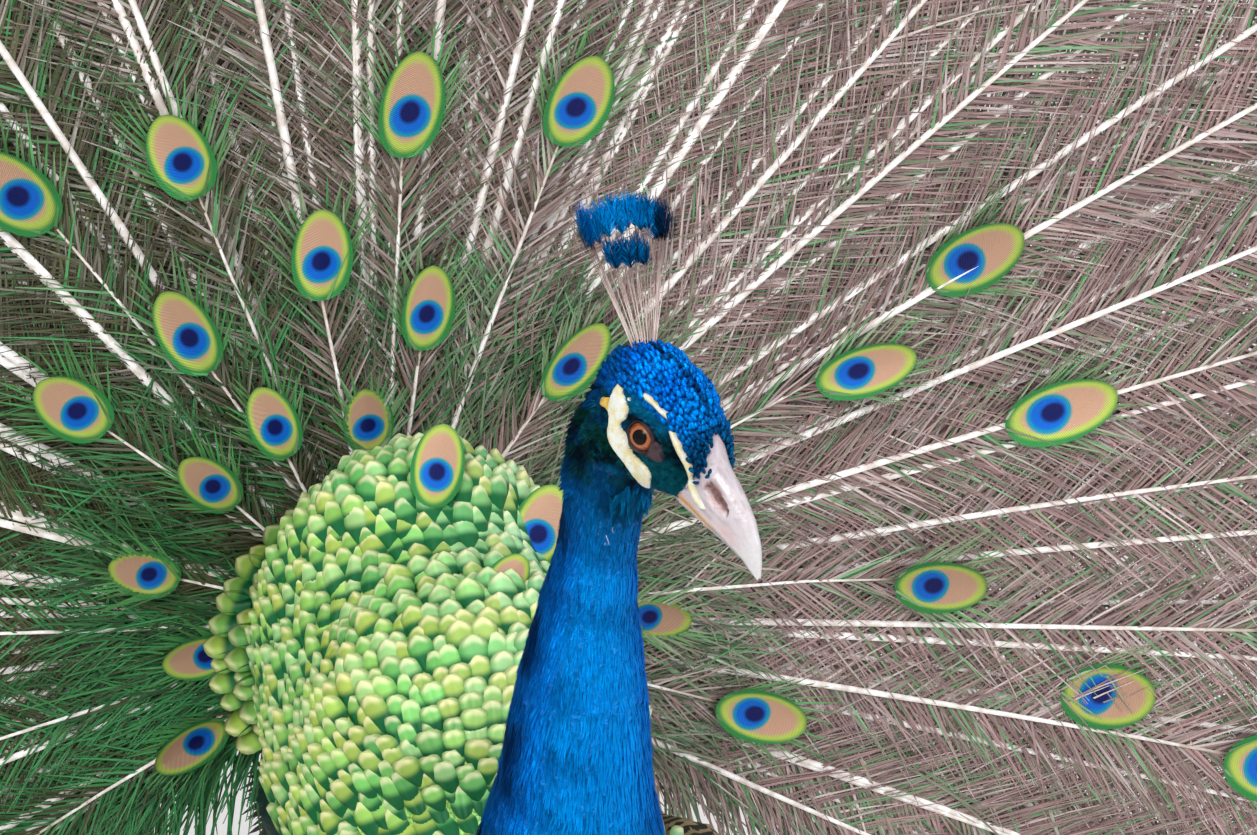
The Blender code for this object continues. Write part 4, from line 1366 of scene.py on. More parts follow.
def make_lids(side, which, finish):
    centre, look, forward, upward = side_axes(side)
    opening = lid_outline(np.linspace(0, 2 * math.pi, 64, endpoint=False))
    line = in_plane(*opening, forward, upward)
    wide = np.hypot(*opening)
    on_ball = np.sqrt(np.maximum(BALL**2 - wide**2, 1.0))
    rings = []
    for grow, out in ((0.92, None), (0.955, 0.02), (0.985, 0.34), (1.03, 0.5), (1.09, 0.42), (1.16, 0.12)):
        deep = np.sqrt(np.maximum(BALL**2 - (wide * grow) ** 2, 1.0)) if out is None else on_ball + out
        rings.append(centre + (deep + 0.12)[:, None] * look + grow * line)
    reach = centre + 1.27 * line
    outer = in_head(from_the_side(reach[:, 0], reach[:, 2], side, np.full(len(reach), 0.55)))
    rings.append(0.5 * (rings[-1] + outer) + 0.12 * look)
    rings += [outer, outer - 1.4 * look]
    points, faces = loft(rings)
    return ride_on(turn_out(mesh_piece("lids_" + which, from_head(points), faces, finish)), "eye")


LID_FINISH = make_face_finish("dark lid skin", tone(26, 20, 24), tone(58, 48, 54), 2200.0, 0.45)
for side, which in SIDES:
    lids = make_lids(side, which, LID_FINISH)
    print(lids.name, [round(1000 * v, 1) for v in lids.dimensions], "mm")

# %% [markdown]
# ## Head plumage
# The crown grows curled tips in curved rows, as fish scales do, so its roots come from level lines
# of a distance field. The face is velvet: short tufts scattered closely. Both leave the bare skin,
# the lids and the wedge of horn between the forehead lobes free.


# %% Cover of the head
def over_bill(head):
    """Where the forehead's feathers end on the bill."""
    end = np.interp(head[:, 2], (-7.3, -2.6, 2.3, 5.8, 10.0, 14.5), (29.0, 29.9, 28.4, 27.2, 24.8, 22.0))
    return head[:, 0] < end - 1.2 * smooth(2.2, 0.4, np.abs(head[:, 1])) - 0.4


def bare(points):
    """Which points lie on bare skin, the lids or the bill."""
    head = in_head(points)
    found = ~over_bill(head)
    flank = np.abs(head[:, 1]) > 5.0
    for outline in (CRESCENT, STRIPE, BROW_STRIPE, SPUR_OF_SKIN, LID_SKIN, *DASHES):
        found |= inside(outline, head[:, 0], head[:, 2]) & flank
    for side, _ in SIDES:
        off_axis, out = from_eye(head, side)
        found |= (off_axis < 7.1) & (out > -3)
    return found


def jittered(colours, amount, seed):
    rng = np.random.default_rng(seed)
    return np.clip(colours * rng.uniform(1 - amount, 1 + amount, (len(colours), 1)), 0, 1)


def coat_tone(roots, normals):
    return plumage_tone(roots, normals, form_of(roots))


def flow_at(roots):
    """The smoothed lie at each root, from the nearest point of the skin."""
    found = np.empty((len(roots), 3))
    for k, root in enumerate(roots):
        _, _, face, _ = surface.tree.find_nearest(Vector(root))
        found[k] = skin_flow[list(skin.data.polygons[face].vertices)].mean(0)
    return found


def ways_from_head(ways):
    return unit(np.asarray(ways) @ HEAD_TURN_ONLY.T)


def keep(kept, *arrays):
    return [array[kept] for array in arrays]


def coat(name, grown, shapes, finish, slot, *nodes, rng, mm, tilt, jitter, spread=(0.75, 1.25),
         stray=0.0, more_tilt=0.0, patch=0.003):
    """A coat of feathers on (roots, normals, places), with the skin's colours and lie."""
    roots, out, laid = grown
    count, kinds = len(roots), len(shapes.objects)
    size = sized(rng, mm, *spread, count)
    lie = flow_at(roots)
    if stray:
        lie = lie + rng.normal(0, stray, (count, 3))
    tilt = rng.uniform(*tilt, count) + more_tilt
    kind = rng.integers(0, kinds, count) if kinds > 1 else 0
    tones = jittered(coat_tone(roots, out), *jitter)
    print(name, count)
    made = plant(name, shapes, roots, out, lie, size, tones, finish, laid, tilt, kind, patch)
    return ride_on(made, slot, *nodes)


crown_height = skin_head[:, 2] - brow(skin_head[:, 0])
crown_cover = (crown_height > -0.5) & (skin_head[:, 0] > -27) & (skin_head[:, 2] > -6)
from_bill = np.linalg.norm(skin_head - BILL_ROOT, axis=1) * MM
around = np.arctan2(skin_head[:, 1], skin_head[:, 2] - BILL_ROOT[2])
roots, out, laid = rows(from_bill, 0.00195, 0.00180, crown_cover, around, 4, 0.30, 0.006)
rng = np.random.default_rng(30)
roots = roots + flow_at(roots) * rng.normal(0, 0.0003, (len(roots), 1))
head = in_head(roots)
kept = ~bare(roots) & (off_parting(head) > np.where(head[:, 0] < 14, 0.55, 0.0))
roots, out, laid = keep(kept, roots, out, laid)
rng = np.random.default_rng(31)
size = np.array([2.05, 4.1, 2.7]) * MM * rng.uniform(0.75, 1.2, (len(roots), 3))
lie = flow_at(roots)
lie = lie + np.cross(out, lie) * rng.normal(0, 0.28, (len(roots), 1))
tones = jittered(coat_tone(roots, out), 0.4, 32)
ride_on(plant("crown_feathers", BEAD, roots - out * 0.0002, out, lie, size, tones, BEAD_FINISH, laid,
              rng.uniform(8, 26, len(roots))), "blue_plumage")
print("crown", len(roots), "feathers")

# %% Velvet of the face and plumage of the nape and throat
reach = smooth(-34, -26, skin_head[:, 2]) * smooth(40, 36, np.linalg.norm(skin_head, axis=1))
face_zone = (crown_height < 0.8) & (skin_head[:, 0] > -22) & (skin_head[:, 2] > -20)
roots, out, laid = scatter(face_zone & (reach > 0.5), 0.00072, 5)
head = in_head(roots)
roots, out, laid, head = keep(~bare(roots) & (head[:, 2] - brow(head[:, 0]) < 0.4), roots, out, laid, head)
rng = np.random.default_rng(33)
size = sized(rng, (1.7, 2.3, 2.3), 0.75, 1.2, len(roots)) * (1 + 0.35 * (head[:, :1] < -12))
tones = jittered(coat_tone(roots, out), 0.5, 34)
tones = blend(tones, tone(10, 116, 128), 0.30 * smooth(0.6, 0.95, rng.uniform(0, 1, len(roots))))
lie = flow_at(roots) + rng.normal(0, 0.25, roots.shape)
ride_on(plant("face_velvet", VELVET, roots, out, lie, size, tones, VELVET_FINISH, laid,
              rng.uniform(16, 42, len(roots))), "blue_plumage")
print("velvet", len(roots))

grown = scatter(lies_on("head", "neck") & ~face_zone & ~crown_cover & (skin_head[:, 2] > -46), 0.0014, 6)
grown = keep(~bare(grown[0]), *grown)
coat("nape_and_throat", grown, SILK, SILK_FINISH, "blue_plumage", rng=np.random.default_rng(35),
     mm=(2.3, 5.4, 4.6), tilt=(4, 14), jitter=(0.3, 36),
     more_tilt=20.0 * smooth(-10, -18, in_head(grown[0])[:, 0]))


def on_skin(spots):
    """The places on the skin nearest to spots of the head frame, and its normals there."""
    found = [surface.tree.find_nearest(Vector(spot))[:2] for spot in from_head(spots)]
    return np.array([place for place, _ in found]), np.array([normal for _, normal in found])


# Dark bristles edge the gape, and a few pale filaments hang on the front of the neck.
for name, count, low, high, way, size, shade in (
    ("gape_bristles", 80, (20, -9, -15.5), (29, 9, -6), (1.0, 0.0, -0.35), (0.28, 3.6, 3.0), INKY),
    ("pale_filaments", 9, (0, -9, -54), (5, -2, -44), (0.35, 0.0, -1.0), (0.26, 4.8, 4.0),
     tone(214, 204, 212)),
):
    rng = np.random.default_rng(48)
    roots, out = on_skin(rng.uniform(low, high, (count, 3)))
    lie = ways_from_head(np.tile(way, (count, 1))) + rng.normal(0, 0.16, (count, 3))
    laid = np.linspace((0.6, 0.02), (0.9, 0.02), count)
    ride_on(plant(name, BARB, roots, out, lie, sized(rng, size, 0.7, 1.2, count), shade, SOFT_FINISH, laid,
                  rng.uniform(6, 24, count)), "blue_plumage")

# Longer feathers overhang the neck as a tuft under the chin.
CHIN = 64
roots, out = on_skin(np.c_[rng.uniform(-4, 8, CHIN), rng.uniform(-10, 10, CHIN), rng.uniform(-35, -24, CHIN)])
lie = unit(from_head(np.tile((0.5, 0.0, -1.0), (CHIN, 1))) - from_head(np.zeros((CHIN, 3))))
lie = lie + rng.normal(0, 0.18, (CHIN, 3))
size = sized(rng, (2.2, 11.0, 8.0), 0.6, 1.2, CHIN)
tones = jittered(blend(tone(2, 112, 168), INKY, rng.uniform(0, 0.85, CHIN)), 0.2, 47)
ride_on(plant("chin_tuft", SILK, roots, out, lie, size, tones, SILK_FINISH,
              np.linspace((0.02, 0.02), (0.3, 0.02), CHIN),
              rng.uniform(14, 36, CHIN), rng.integers(0, 2, CHIN)), "blue_plumage")
print("chin tuft", CHIN)

# %% [markdown]
# ## Neck and breast
# Silky feathers with loose barbs. They are small below the head and grow towards the breast. The
# skin, with the head, neck, trunk and thighs under it, is one piece.

# %% Neck and breast
height = surface.points[:, 2]
above_belly = height > 0.335 + 0.9 * np.maximum(surface.points[:, 1] + 0.1, 0)
silky = lies_on("neck", "trunk") & (skin_head[:, 2] <= -44) & above_belly
for name, low, high, spacing, mm in (("neck_upper", 0.60, 2.0, 0.0022, (3.0, 8.6, 6.4)),
                                     ("neck_lower", 0.475, 0.60, 0.0030, (4.2, 12.0, 9.2)),
                                     ("breast", 0.0, 0.475, 0.0052, (8.0, 20.0, 15.0))):
    grown = scatter(silky & (height > low) & (height <= high), spacing, 7)
    coat(name + "_feathers", grown, SILK, SILK_FINISH, "blue_plumage", rng=np.random.default_rng(37),
         mm=mm, stray=0.10, tilt=(3, 10), jitter=(0.12, 38))
coat("body_feathers", scatter(lies_on("trunk") & ~silky, 0.0075, 8), BODY, BODY_FINISH, "dark_plumage",
     rng=np.random.default_rng(39), mm=(15.0, 25.0, 20.0), spread=(0.8, 1.2), tilt=(4, 12), jitter=(0.3, 40))
ride_on(skin, "blue_plumage", "head", "neck", "trunk", "thigh_left", "thigh_right")

# %% [markdown]
# ## The shield of scales
# The back's feathers are stiff, round scales that overlap like tiles. In display their tips point
# up, away from the shoulders. Each shows a deep green foot, which is painted shade under the scale
# above, a brighter middle, a painted highlight in an arc near its tip, a thin olive rim, and painted
# shade in the gaps between its barbs.


# %% Scale finish
def make_scale_finish():
    made, tree, shader = start_finish(
        "green gold scales", Roughness=0.38, Metallic=0.1, Specular_IOR_Level=0.3)
    vane = vane_lines(tree, 34, 5)
    here = own_tone(tree)
    out = oval(tree, vane_map(tree), (0.5, 0.56), (0.5, 0.44))
    middle = mixed(tree, 0.40, here, tone(84, 196, 96))
    lit = mixed(tree, 0.62, here, tone(255, 255, 204))
    # Painted highlight: a pale arc near each scale's tip.
    arc = part(tree, step(tree, out, 0.42, 0.78), step(tree, vane["Along"], 0.62, 0.84))
    colour = mixed(tree, arc, middle, lit)
    colour = mixed(tree, part(tree, step(tree, vane["Across"], 0.5, 1.0), 0.55), colour, tone(40, 140, 60))
    colour = mixed(tree, part(tree, step(tree, out, 0.93, 1.0), 0.35), colour, tone(120, 130, 40))
    # Painted shade: the foot, under the scale above, turns deep green, and the gaps between barbs darken.
    colour = mixed(tree, step(tree, vane["Along"], 0.60, 0.36), colour, tone(20, 108, 60))
    colour = mixed(tree, shade_between_barbs(tree, vane, 0.22), colour, np.zeros(3))
    dress(tree, shader, colour, vane["Height"], 0.0004)
    return made


SCALES = make_scale_finish()

# %% Scales of the shield
SCALE_MM = (11.8, 15.5, 15.5)
raw_normals = surface.normals
surface.normals = unit(even_out(raw_normals, 40))
from_shoulder = surface.points - SHOULDER
# Over the top, where the level lines lie too far apart, the scales are scattered.
steep = (unit(from_shoulder) * surface.normals).sum(1)
roots, out, laid = rows(np.linalg.norm(from_shoulder, axis=1), 0.0066, 0.0084,
                        lies_on("shield") & (steep < 0.86),
                        np.arctan2(from_shoulder[:, 0], from_shoulder[:, 2]), 9, 0.10)
surface.normals = raw_normals
in_rows = len(roots)
roots, out, laid = (np.vstack(pair) for pair in zip(
    (roots, out, laid), scatter(lies_on("shield") & (steep > 0.78), 0.0075, 15)))
count, scattered = len(roots), np.arange(len(roots)) >= in_rows
rng = np.random.default_rng(41)
size = sized(rng, SCALE_MM, 0.82, 1.14, count)
lie = np.where(scattered[:, None], (0.0, 1.0, 0.1), unit(roots - SHOULDER))
roots = roots + out * 0.001
lie = lie + rng.normal(0, 0.10, roots.shape)
tones = jittered(coat_tone(roots, out), 0.25, 42)
picked = rng.uniform(0, 1, count)
tones = layered(
    tones,
    (tone(236, 206, 84), 0.60 * (picked < 0.24)),
    (tone(236, 255, 206), 0.45 * ((picked > 0.5) & (picked < 0.72))),
    (tone(20, 120, 84), 0.45 * (picked > 0.82)))
tilt = rng.uniform(10, 27, count) + np.where(scattered, 16.0, 0.0)
ride_on(plant("shield_scales", SCALE, roots, out, lie, size, tones, SCALES, laid, tilt, patch=0.010),
        "shield_scales", "shield")
print("shield", in_rows, "scales in rows and", count - in_rows, "scattered")

# %% [markdown]
# ## Wings, thighs and vent
# The folded wings are buff with dark bars, the thighs plain buff, and under the tail hangs fluff.


# %% Wings, thighs and vent
def make_barred_finish():
    made, tree, shader = start_finish("barred wing plumage", Roughness=0.75)
    vane = vane_lines(tree, 30, 5)
    phase = calc(tree, "MULTIPLY_ADD", grain(tree, 90.0, 0.2, 0.8), 5.5, part(tree, vane["Along"], 17.0))
    bars = step(tree, calc(tree, "SINE", phase), -0.1, 0.35)
    colour = mixed(tree, bars, own_tone(tree), tone(34, 28, 26))
    # Painted shade on the foot of each covert, under its neighbours.
    colour = mixed(tree, part(tree, vane["Foot"], 0.6), colour, tone(20, 16, 14))
    dress(tree, shader, colour, vane["Height"], 0.0004)
    return made


BARRED = make_barred_finish()
back_of_wing = surface.points @ np.array([0.0, 0.86, -0.51])
for side, which in SIDES:
    this_side = surface.points[:, 0] * side > 0
    rng = np.random.default_rng(43)
    grown = rows(back_of_wing, 0.0125, 0.0125, lies_on("wing") & this_side, surface.points[:, 2], 10, 0.15)
    coat("wing_coverts_" + which, grown, BODY, BARRED, "wing_feathers", "wing_" + which, rng=rng,
         mm=(19.0, 30.0, 22.0), spread=(0.85, 1.15), tilt=(4, 10), jitter=(0.2, 44), patch=0.006)
    coat("thigh_feathers_" + which, scatter(lies_on("thigh") & this_side, 0.0046, 11), SILK, SOFT_FINISH,
         "buff_plumage", rng=rng, mm=(7.0, 15.0, 12.0), spread=(0.8, 1.2), tilt=(3, 9), jitter=(0.2, 45))
coat("vent_down", scatter(lies_on("vent"), 0.0062, 12), FLUFF, SOFT_FINISH, "vent_down", "vent", rng=rng,
     mm=(22.0, 26.0, 24.0), spread=(0.7, 1.2), tilt=(15, 40), jitter=(0.35, 46))

# %% [markdown]
# ## Crest
# Thirty bare shafts stand in a ring, each with a little fan of blue barbs at its end.


# %% Crest feathers
CREST_AT, CREST_RAKE = np.array([-23.5, 0.0, 20.0]), 43.0
CREST_SPREAD = (19.5, 22.0)
# Around the ring from straight ahead: how many, from and to which angle, share of the spread,
# length and half width of a fan. The near right side is a lower cluster of its own.
CREST_GROUPS = ((7, -178.0, -116.0, 1.0, 58.0, 5.2), (9, 98.0, 172.0, 1.0, 61.5, 3.6),
                (8, 12.0, 92.0, 1.0, 55.8, 5.0), (6, -92.0, -4.0, 0.58, 45.5, 3.4))
RAKE = np.array(Matrix.Rotation(math.radians(-CREST_RAKE), 3, "Y"))


def tubes(paths, radii, sides=4):
    """One mesh of thin tubes along rows of points, each with a radius at every point."""
    points, faces, lengths = [], [], []
    start = 0
    for path, radius in zip(paths, radii):
        along = unit(np.gradient(path, axis=0))
        first = unit(np.cross(along, (0.3, 0.9, 0.31)))
        second = np.cross(along, first)
        turn = np.linspace(0, 2 * math.pi, sides, endpoint=False)[None, :, None]
        ring = np.cos(turn) * first[:, None] + np.sin(turn) * second[:, None]
        rings = path[:, None] + ring * np.asarray(radius)[:, None, None]
        tube, tube_faces = loft(list(rings), close_first=True, close_last=True)
        points.append(tube)
        faces += [[start + i for i in face] for face in tube_faces]
        lengths.append(np.repeat(np.linspace(0, 1, len(path)), sides))
        start += len(tube)
    return np.vstack(points), faces, np.concatenate(lengths)


def make_shafts(name, paths, radii, slot, root_tone, tip_tone, low, high):
    points, faces, lengths = tubes(paths, radii)
    made = mesh_piece(name, points, faces, SHAFT_FINISH)
    store_tone(made.data, blend(root_tone, tip_tone, smooth(low, high, lengths)))
    print(name, len(paths))
    return ride_on(turn_out(made), slot)


def crest_paths():
    rng = np.random.default_rng(50)
    for count, low, high, share, length, fan in CREST_GROUPS:
        for turn in np.radians(np.linspace(low, high, count) + rng.uniform(-4, 4, count)):
            out = np.array([math.cos(turn), math.sin(turn), 0.0])
            side = np.array([-math.sin(turn), math.cos(turn), 0.0])
            tall = length - rng.uniform(0, 4.5)
            near = share * rng.uniform(0.84, 1.06)
            tip = np.array([CREST_SPREAD[0] * near * out[0], CREST_SPREAD[1] * near * out[1], tall])
            foot = np.array([3.4 * share * out[0], 5.0 * share * out[1], 0.0])
            t = np.linspace(-0.04, 0.93, 12)[:, None]
            path = foot + (tip - foot) * t - out * 3.2 * t * (1 - t)
            yield CREST_AT + path @ RAKE.T, out @ RAKE.T, side @ RAKE.T, fan, turn


SHAFT_FINISH, tree, shader = start_finish("pale feather shaft", Roughness=0.4)
dress(tree, shader, mixed(tree, grain(tree, 160.0), own_tone(tree), tone(214, 204, 198), "MULTIPLY"))
crest = list(crest_paths())
make_shafts("crest_shafts", [from_head(path) for path, *_ in crest],
            [np.linspace(0.27, 0.12, 12) * MM] * len(crest),
            "crest_feathers", tone(222, 204, 200), tone(104, 78, 78), 0.25, 0.9)

# %% Crest fans
FAN_BARB = bent_pair("fan_barb", lambda v: 0.5 * (0.7 + 0.6 * v) * (1 - v**5) + 0.04, 4, 0.06, 0.12)
FAN_FINISH = feather_finish("blue crest fans", 5, 3, 0.85, 0.2, 0.0002,
                            Roughness=0.4, Metallic=0.6, **BLUE_SHEEN)
rng = np.random.default_rng(51)
fans, fine = [], []
for path, out, side, fan, turn in crest:
    end = path[-1] - path[-3]
    way = unit(end[None])[0] + out * 0.30
    # Painted light and shade: the fans' blue darkens on the small near cluster and on fans turned forwards,
    # and stays bright azure on those turned back.
    shadow = 0.72 if fan < 3.5 else np.clip(0.20 + 0.76 * math.cos(turn - 0.5), 0.0, 0.92)
    bright = blend(AZURE, tone(0, 20, 46), [shadow])[0]
    for layer in (-1, 0, 1):
        for lean in np.linspace(-52, 52, 40):
            lean = math.radians(lean + rng.uniform(-4, 4))
            root = path[-3] + end * rng.uniform(-0.2, 0.5) + out * layer * 0.8
            lie = way * math.cos(lean) + side * math.sin(lean) + out * rng.uniform(-0.45, 0.5)
            long = (9.8 - 3.2 * abs(lean)) * fan / 4.4 * rng.uniform(0.5, 1.12)
            fans.append((root, lie, out, (0.34, long, 6.0), bright * rng.uniform(0.35, 1.3)))
    for _ in range(26):
        at = rng.uniform(0.25, 0.78) * 11
        root = path[int(at)] + (path[int(at) + 1] - path[int(at)]) * (at % 1)
        lean = math.radians(rng.uniform(16, 34)) * rng.choice((-1, 1))
        long = rng.uniform(1.8, 3.4)
        fine.append((root, way * math.cos(lean) + side * math.sin(lean), out, (0.16, long, long)))

roots, lies, outs, sizes, tones = (np.array(column) for column in zip(*fans))
ride_on(plant("crest_fans", FAN_BARB, from_head(roots), ways_from_head(outs), ways_from_head(lies),
              sizes * MM,
              np.clip(tones, 0, 1), FAN_FINISH, np.linspace((0.1, 0.1), (0.9, 0.9), len(roots)),
              kind=rng.integers(0, 2, len(roots))), "crest_feathers", "crest")
roots, lies, outs, sizes = (np.array(column) for column in zip(*fine))
ride_on(plant("crest_side_barbs", BARB, from_head(roots), ways_from_head(outs), ways_from_head(lies),
              sizes * MM, tone(150, 124, 118), SOFT_FINISH,
              np.linspace((0.1, 0.9), (0.9, 0.1), len(roots))), "crest_feathers")
print("crest barbs", len(fans), "and on the shafts", len(fine))

# %% [markdown]
# ## The train
# Over two hundred tail coverts stand on one shallow dish, with the short ones in front. Each has a
# pale shaft, loose barbs on both sides and, on its end, an eye spot. A function gives the dish at
# any angle and radius. Everything on the train is placed through it, the way a maker would use a
# former. Planting instances along the shafts is quick, and every barb stays real mesh.


# %% The dish
TRAIN_ROOT = np.array([0.0, 0.225, 0.462]) + np.array(PLACE)
TRAIN_REACH, TRAIN_SPREAD = 1.15, 126.0
TRAIN_LEAN, TRAIN_BOWL = 0.06, 0.11


def train_reach(angle):
    return TRAIN_REACH * (1.0 - 0.42 * (np.abs(np.degrees(angle)) / TRAIN_SPREAD) ** 4)


def dish(angle, r, forward=0.0):
    """Points of the fan's front at angles from upright (radians) and radii, moved forward."""
    sweep = TRAIN_LEAN * r * np.maximum(np.cos(angle), 0.0) + TRAIN_BOWL * (r / TRAIN_REACH) ** 2
    return TRAIN_ROOT + np.stack([r * np.sin(angle), -(sweep + forward), r * np.cos(angle)], -1)


def dish_axes(angle, r):
    """Unit vectors along the radius, across it and out of the dish's front."""
    along = unit(dish(angle, r + 0.001) - dish(angle, r - 0.001))
    across = unit(dish(angle + 0.001, r) - dish(angle - 0.001, r))
    return along, across, unit(np.cross(across, along) * -1.0)


def dish_laid(angle, r):
    """The dish unwrapped flat: the place of each root for the bake."""
    r = np.asarray(r) / TRAIN_REACH * 0.46
    return np.stack([0.5 + r * np.sin(angle), 0.5 + r * np.cos(angle)], -1)


# Angle in degrees and radius of the eye spots that stand near the shield, tier by tier.
INNER_TIERS = (
    ((-115, 0.101), (-89, 0.085), (-67, 0.120), (-42, 0.120), (-24.5, 0.126), (-4, 0.110), (16, 0.085),
     (60, 0.083), (78, 0.074), (94, 0.127), (99, 0.103), (121, 0.101)),
    ((-116, 0.215), (-46, 0.195), (-28.6, 0.187), (-9.2, 0.197), (7, 0.163), (34.7, 0.153)),
    ((112, 0.194),),
    ((-118, 0.262), (-100, 0.262), (-82, 0.262), (-33, 0.291), (-19.4, 0.265), (2.3, 0.262), (19, 0.270),
     (64, 0.250), (93, 0.270)),
    ((-116, 0.345), (-103, 0.345), (-90, 0.345), (-77, 0.345), (-64, 0.345), (-2, 0.345), (78, 0.333),
     (122, 0.345)),
    ((61, 0.319),),
    ((-110, 0.425), (-96, 0.425), (-84, 0.425), (-70, 0.425), (-54, 0.425), (-39, 0.425), (-15, 0.425),
     (9, 0.425), (104, 0.371), (120, 0.425)),
)
# Radius and angle apart, in degrees, of the even tiers outside them.
OUTER_TIERS = ((0.53, 9.6), (0.64, 9.0), (0.76, 8.6), (0.88, 8.0), (0.99, 7.4), (1.085, 7.0))
OUTER_FROM = 0.45


def train_feathers():
    """(angle, eye radius, forward offset) of every feather, from the shield outwards."""
    rng = np.random.default_rng(60)
    found = []
    for level, tier in enumerate(INNER_TIERS):
        for angle, radius in tier:
            found.append((angle, radius, 0.020 - 0.0022 * level + rng.uniform(-0.001, 0.001)))
    for level, (radius, apart) in enumerate(OUTER_TIERS):
        for angle in np.arange(-TRAIN_SPREAD + 3 + (level % 2) * apart / 2, TRAIN_SPREAD - 2, apart):
            angle += rng.uniform(-0.9, 0.9)
            radius_here = radius * (1 + rng.uniform(-0.025, 0.025))
            found.append((angle, radius_here, 0.009 - 0.0012 * level + rng.uniform(-0.003, 0.003)))
    found = np.array(found)
    found[:, 0] = np.radians(found[:, 0])
    outer = found[:, 1] > OUTER_FROM
    shortened = found[outer, 1] * train_reach(found[outer, 0]) / TRAIN_REACH
    found[outer, 1] = np.maximum(shortened, OUTER_FROM + 0.02)
    return found


def train_tone(angle, seed):
    """Green and olive on the bird's right, warmer and paler brown on its left."""
    rng = np.random.default_rng(seed)
    degrees, count = np.degrees(angle), len(angle)
    warm = smooth(-40, 50, degrees + rng.normal(0, 14, count))
    pale = smooth(0.6, 1.0, rng.uniform(0, 1, count)) * smooth(-60, 0, degrees)
    green = smooth(0.74, 0.98, rng.uniform(0, 1, count) + 0.50 * smooth(-62, -105, degrees))
    found = layered(
        tone(68, 70, 44),
        (tone(150, 122, 120), warm),
        (tone(206, 196, 192), 0.7 * pale),
        (tone(62, 150, 86), 0.75 * green))
    return jittered(found, 0.35, seed + 1)


FEATHERS = train_feathers()
print("train", len(FEATHERS), "feathers")

# %% Shafts
bends = np.random.default_rng(61).normal(0, 0.018, len(FEATHERS))


def along_shaft(feather, r):
    """The angle of a shaft at radii from its root: nearly straight, with a slight bow."""
    angle, eye, _ = FEATHERS[feather]
    share = np.asarray(r) / eye
    return angle + bends[feather] * share * (1 - share) * 2


paths, radii = [], []
for k, (angle, eye, forward) in enumerate(FEATHERS):
    stops = np.linspace(0.03, eye - 0.004, max(4, int(eye / 0.05)))
    paths.append(dish(along_shaft(k, stops), stops, forward + 0.0012))
    radii.append(np.interp(stops / eye, (0, 0.3, 1), (0.0032, 0.0026, 0.0009)) * (0.6 if eye < 0.3 else 1.0))
make_shafts("train_shafts", paths, radii, "train_feathers",
            tone(250, 248, 246), tone(160, 138, 114), 0.8, 1.0)

# %% Barbs along the shafts
BARB_FINISH = feather_finish("loose train barbs", 3, 1, 0.15, 0.15, 0.0002, 60.0, Roughness=0.5, Metallic=0.2)


def leaning(axes, lean, out=0.0):
    """Ways that lean off the radius by an angle, and out of the dish by a share."""
    along, across, front = axes
    return along * np.cos(lean)[:, None] + across * np.sin(lean)[:, None] + front * out


def loose_barbs(name, roots, angle, r, front, lie, size, tones, kind):
    """Plants loose barbs of the train. Their angles and radii place them on the bake map."""
    print(name, len(roots))
    laid = dish_laid(angle, r)
    made = plant(name, BARB, roots, front, lie, size, tones, BARB_FINISH, laid, kind=kind)
    return ride_on(made, "train_feathers")


barbs = []
for k, (_, eye, _) in enumerate(FEATHERS):
    r = 0.12 if eye > 0.2 else 0.05
    while r < eye - 0.012:
        spacing = np.interp(r, (0.1, 0.5, 0.65, 1.1), (0.0025, 0.0026, 0.0046, 0.0056))
        barbs += [(k, r, 1), (k, r + spacing / 2, -1)]
        r += spacing
owner, stations, sides = np.array(barbs).T
owner, count = owner.astype(int), len(owner)
rng = np.random.default_rng(62)
angles = np.array([along_shaft(k, r) for k, r in zip(owner, stations)])
axes = dish_axes(angles, stations)
near_eye = smooth(0.10, 0.02, FEATHERS[owner, 1] - stations)
lean = np.radians(np.interp(near_eye, (0, 1), (44, 26)) + rng.normal(0, 6, count))
lie = leaning(axes, lean * sides, rng.normal(0.03, 0.07, (count, 1)))
length = (0.058 - 0.016 * near_eye) * np.interp(stations, (0.05, 0.2, 0.5, 1.1), (0.45, 0.8, 1.0, 1.15))
size = barb_size(np.interp(stations, (0.1, 0.5, 1.1), (0.0013, 0.0015, 0.0032)),
                 length * rng.uniform(0.7, 1.2, count))
roots = dish(angles, stations, FEATHERS[owner, 2] + rng.uniform(-0.001, 0.002, count))
tones = train_tone(angles, 63)
# One piece would be too large, so the barbs are cut into four by their angle.
PIECES = 4
share = np.searchsorted(np.quantile(angles, np.linspace(0, 1, PIECES + 1))[1:-1], angles, side="right")
for piece in range(PIECES):
    angle, r, front, way, span, root, colour, kind = keep(
        share == piece, angles, stations, axes[2], lie, size, roots, tones, (sides < 0).astype(int))
    loose_barbs(f"train_barbs_{piece}", root, angle, r, front, way, span, colour, kind)

# %% [markdown]
# ## Eye spots
# Each eye spot is a leaf of close barbs. Its finish draws the nested ovals from the leaf's own
# map: a deep blue heart, a bright blue disc, a bronze field, and yellow and green rims. A fringe of
# loose barbs grows round it, and the longest feathers end in open forks without an eye.


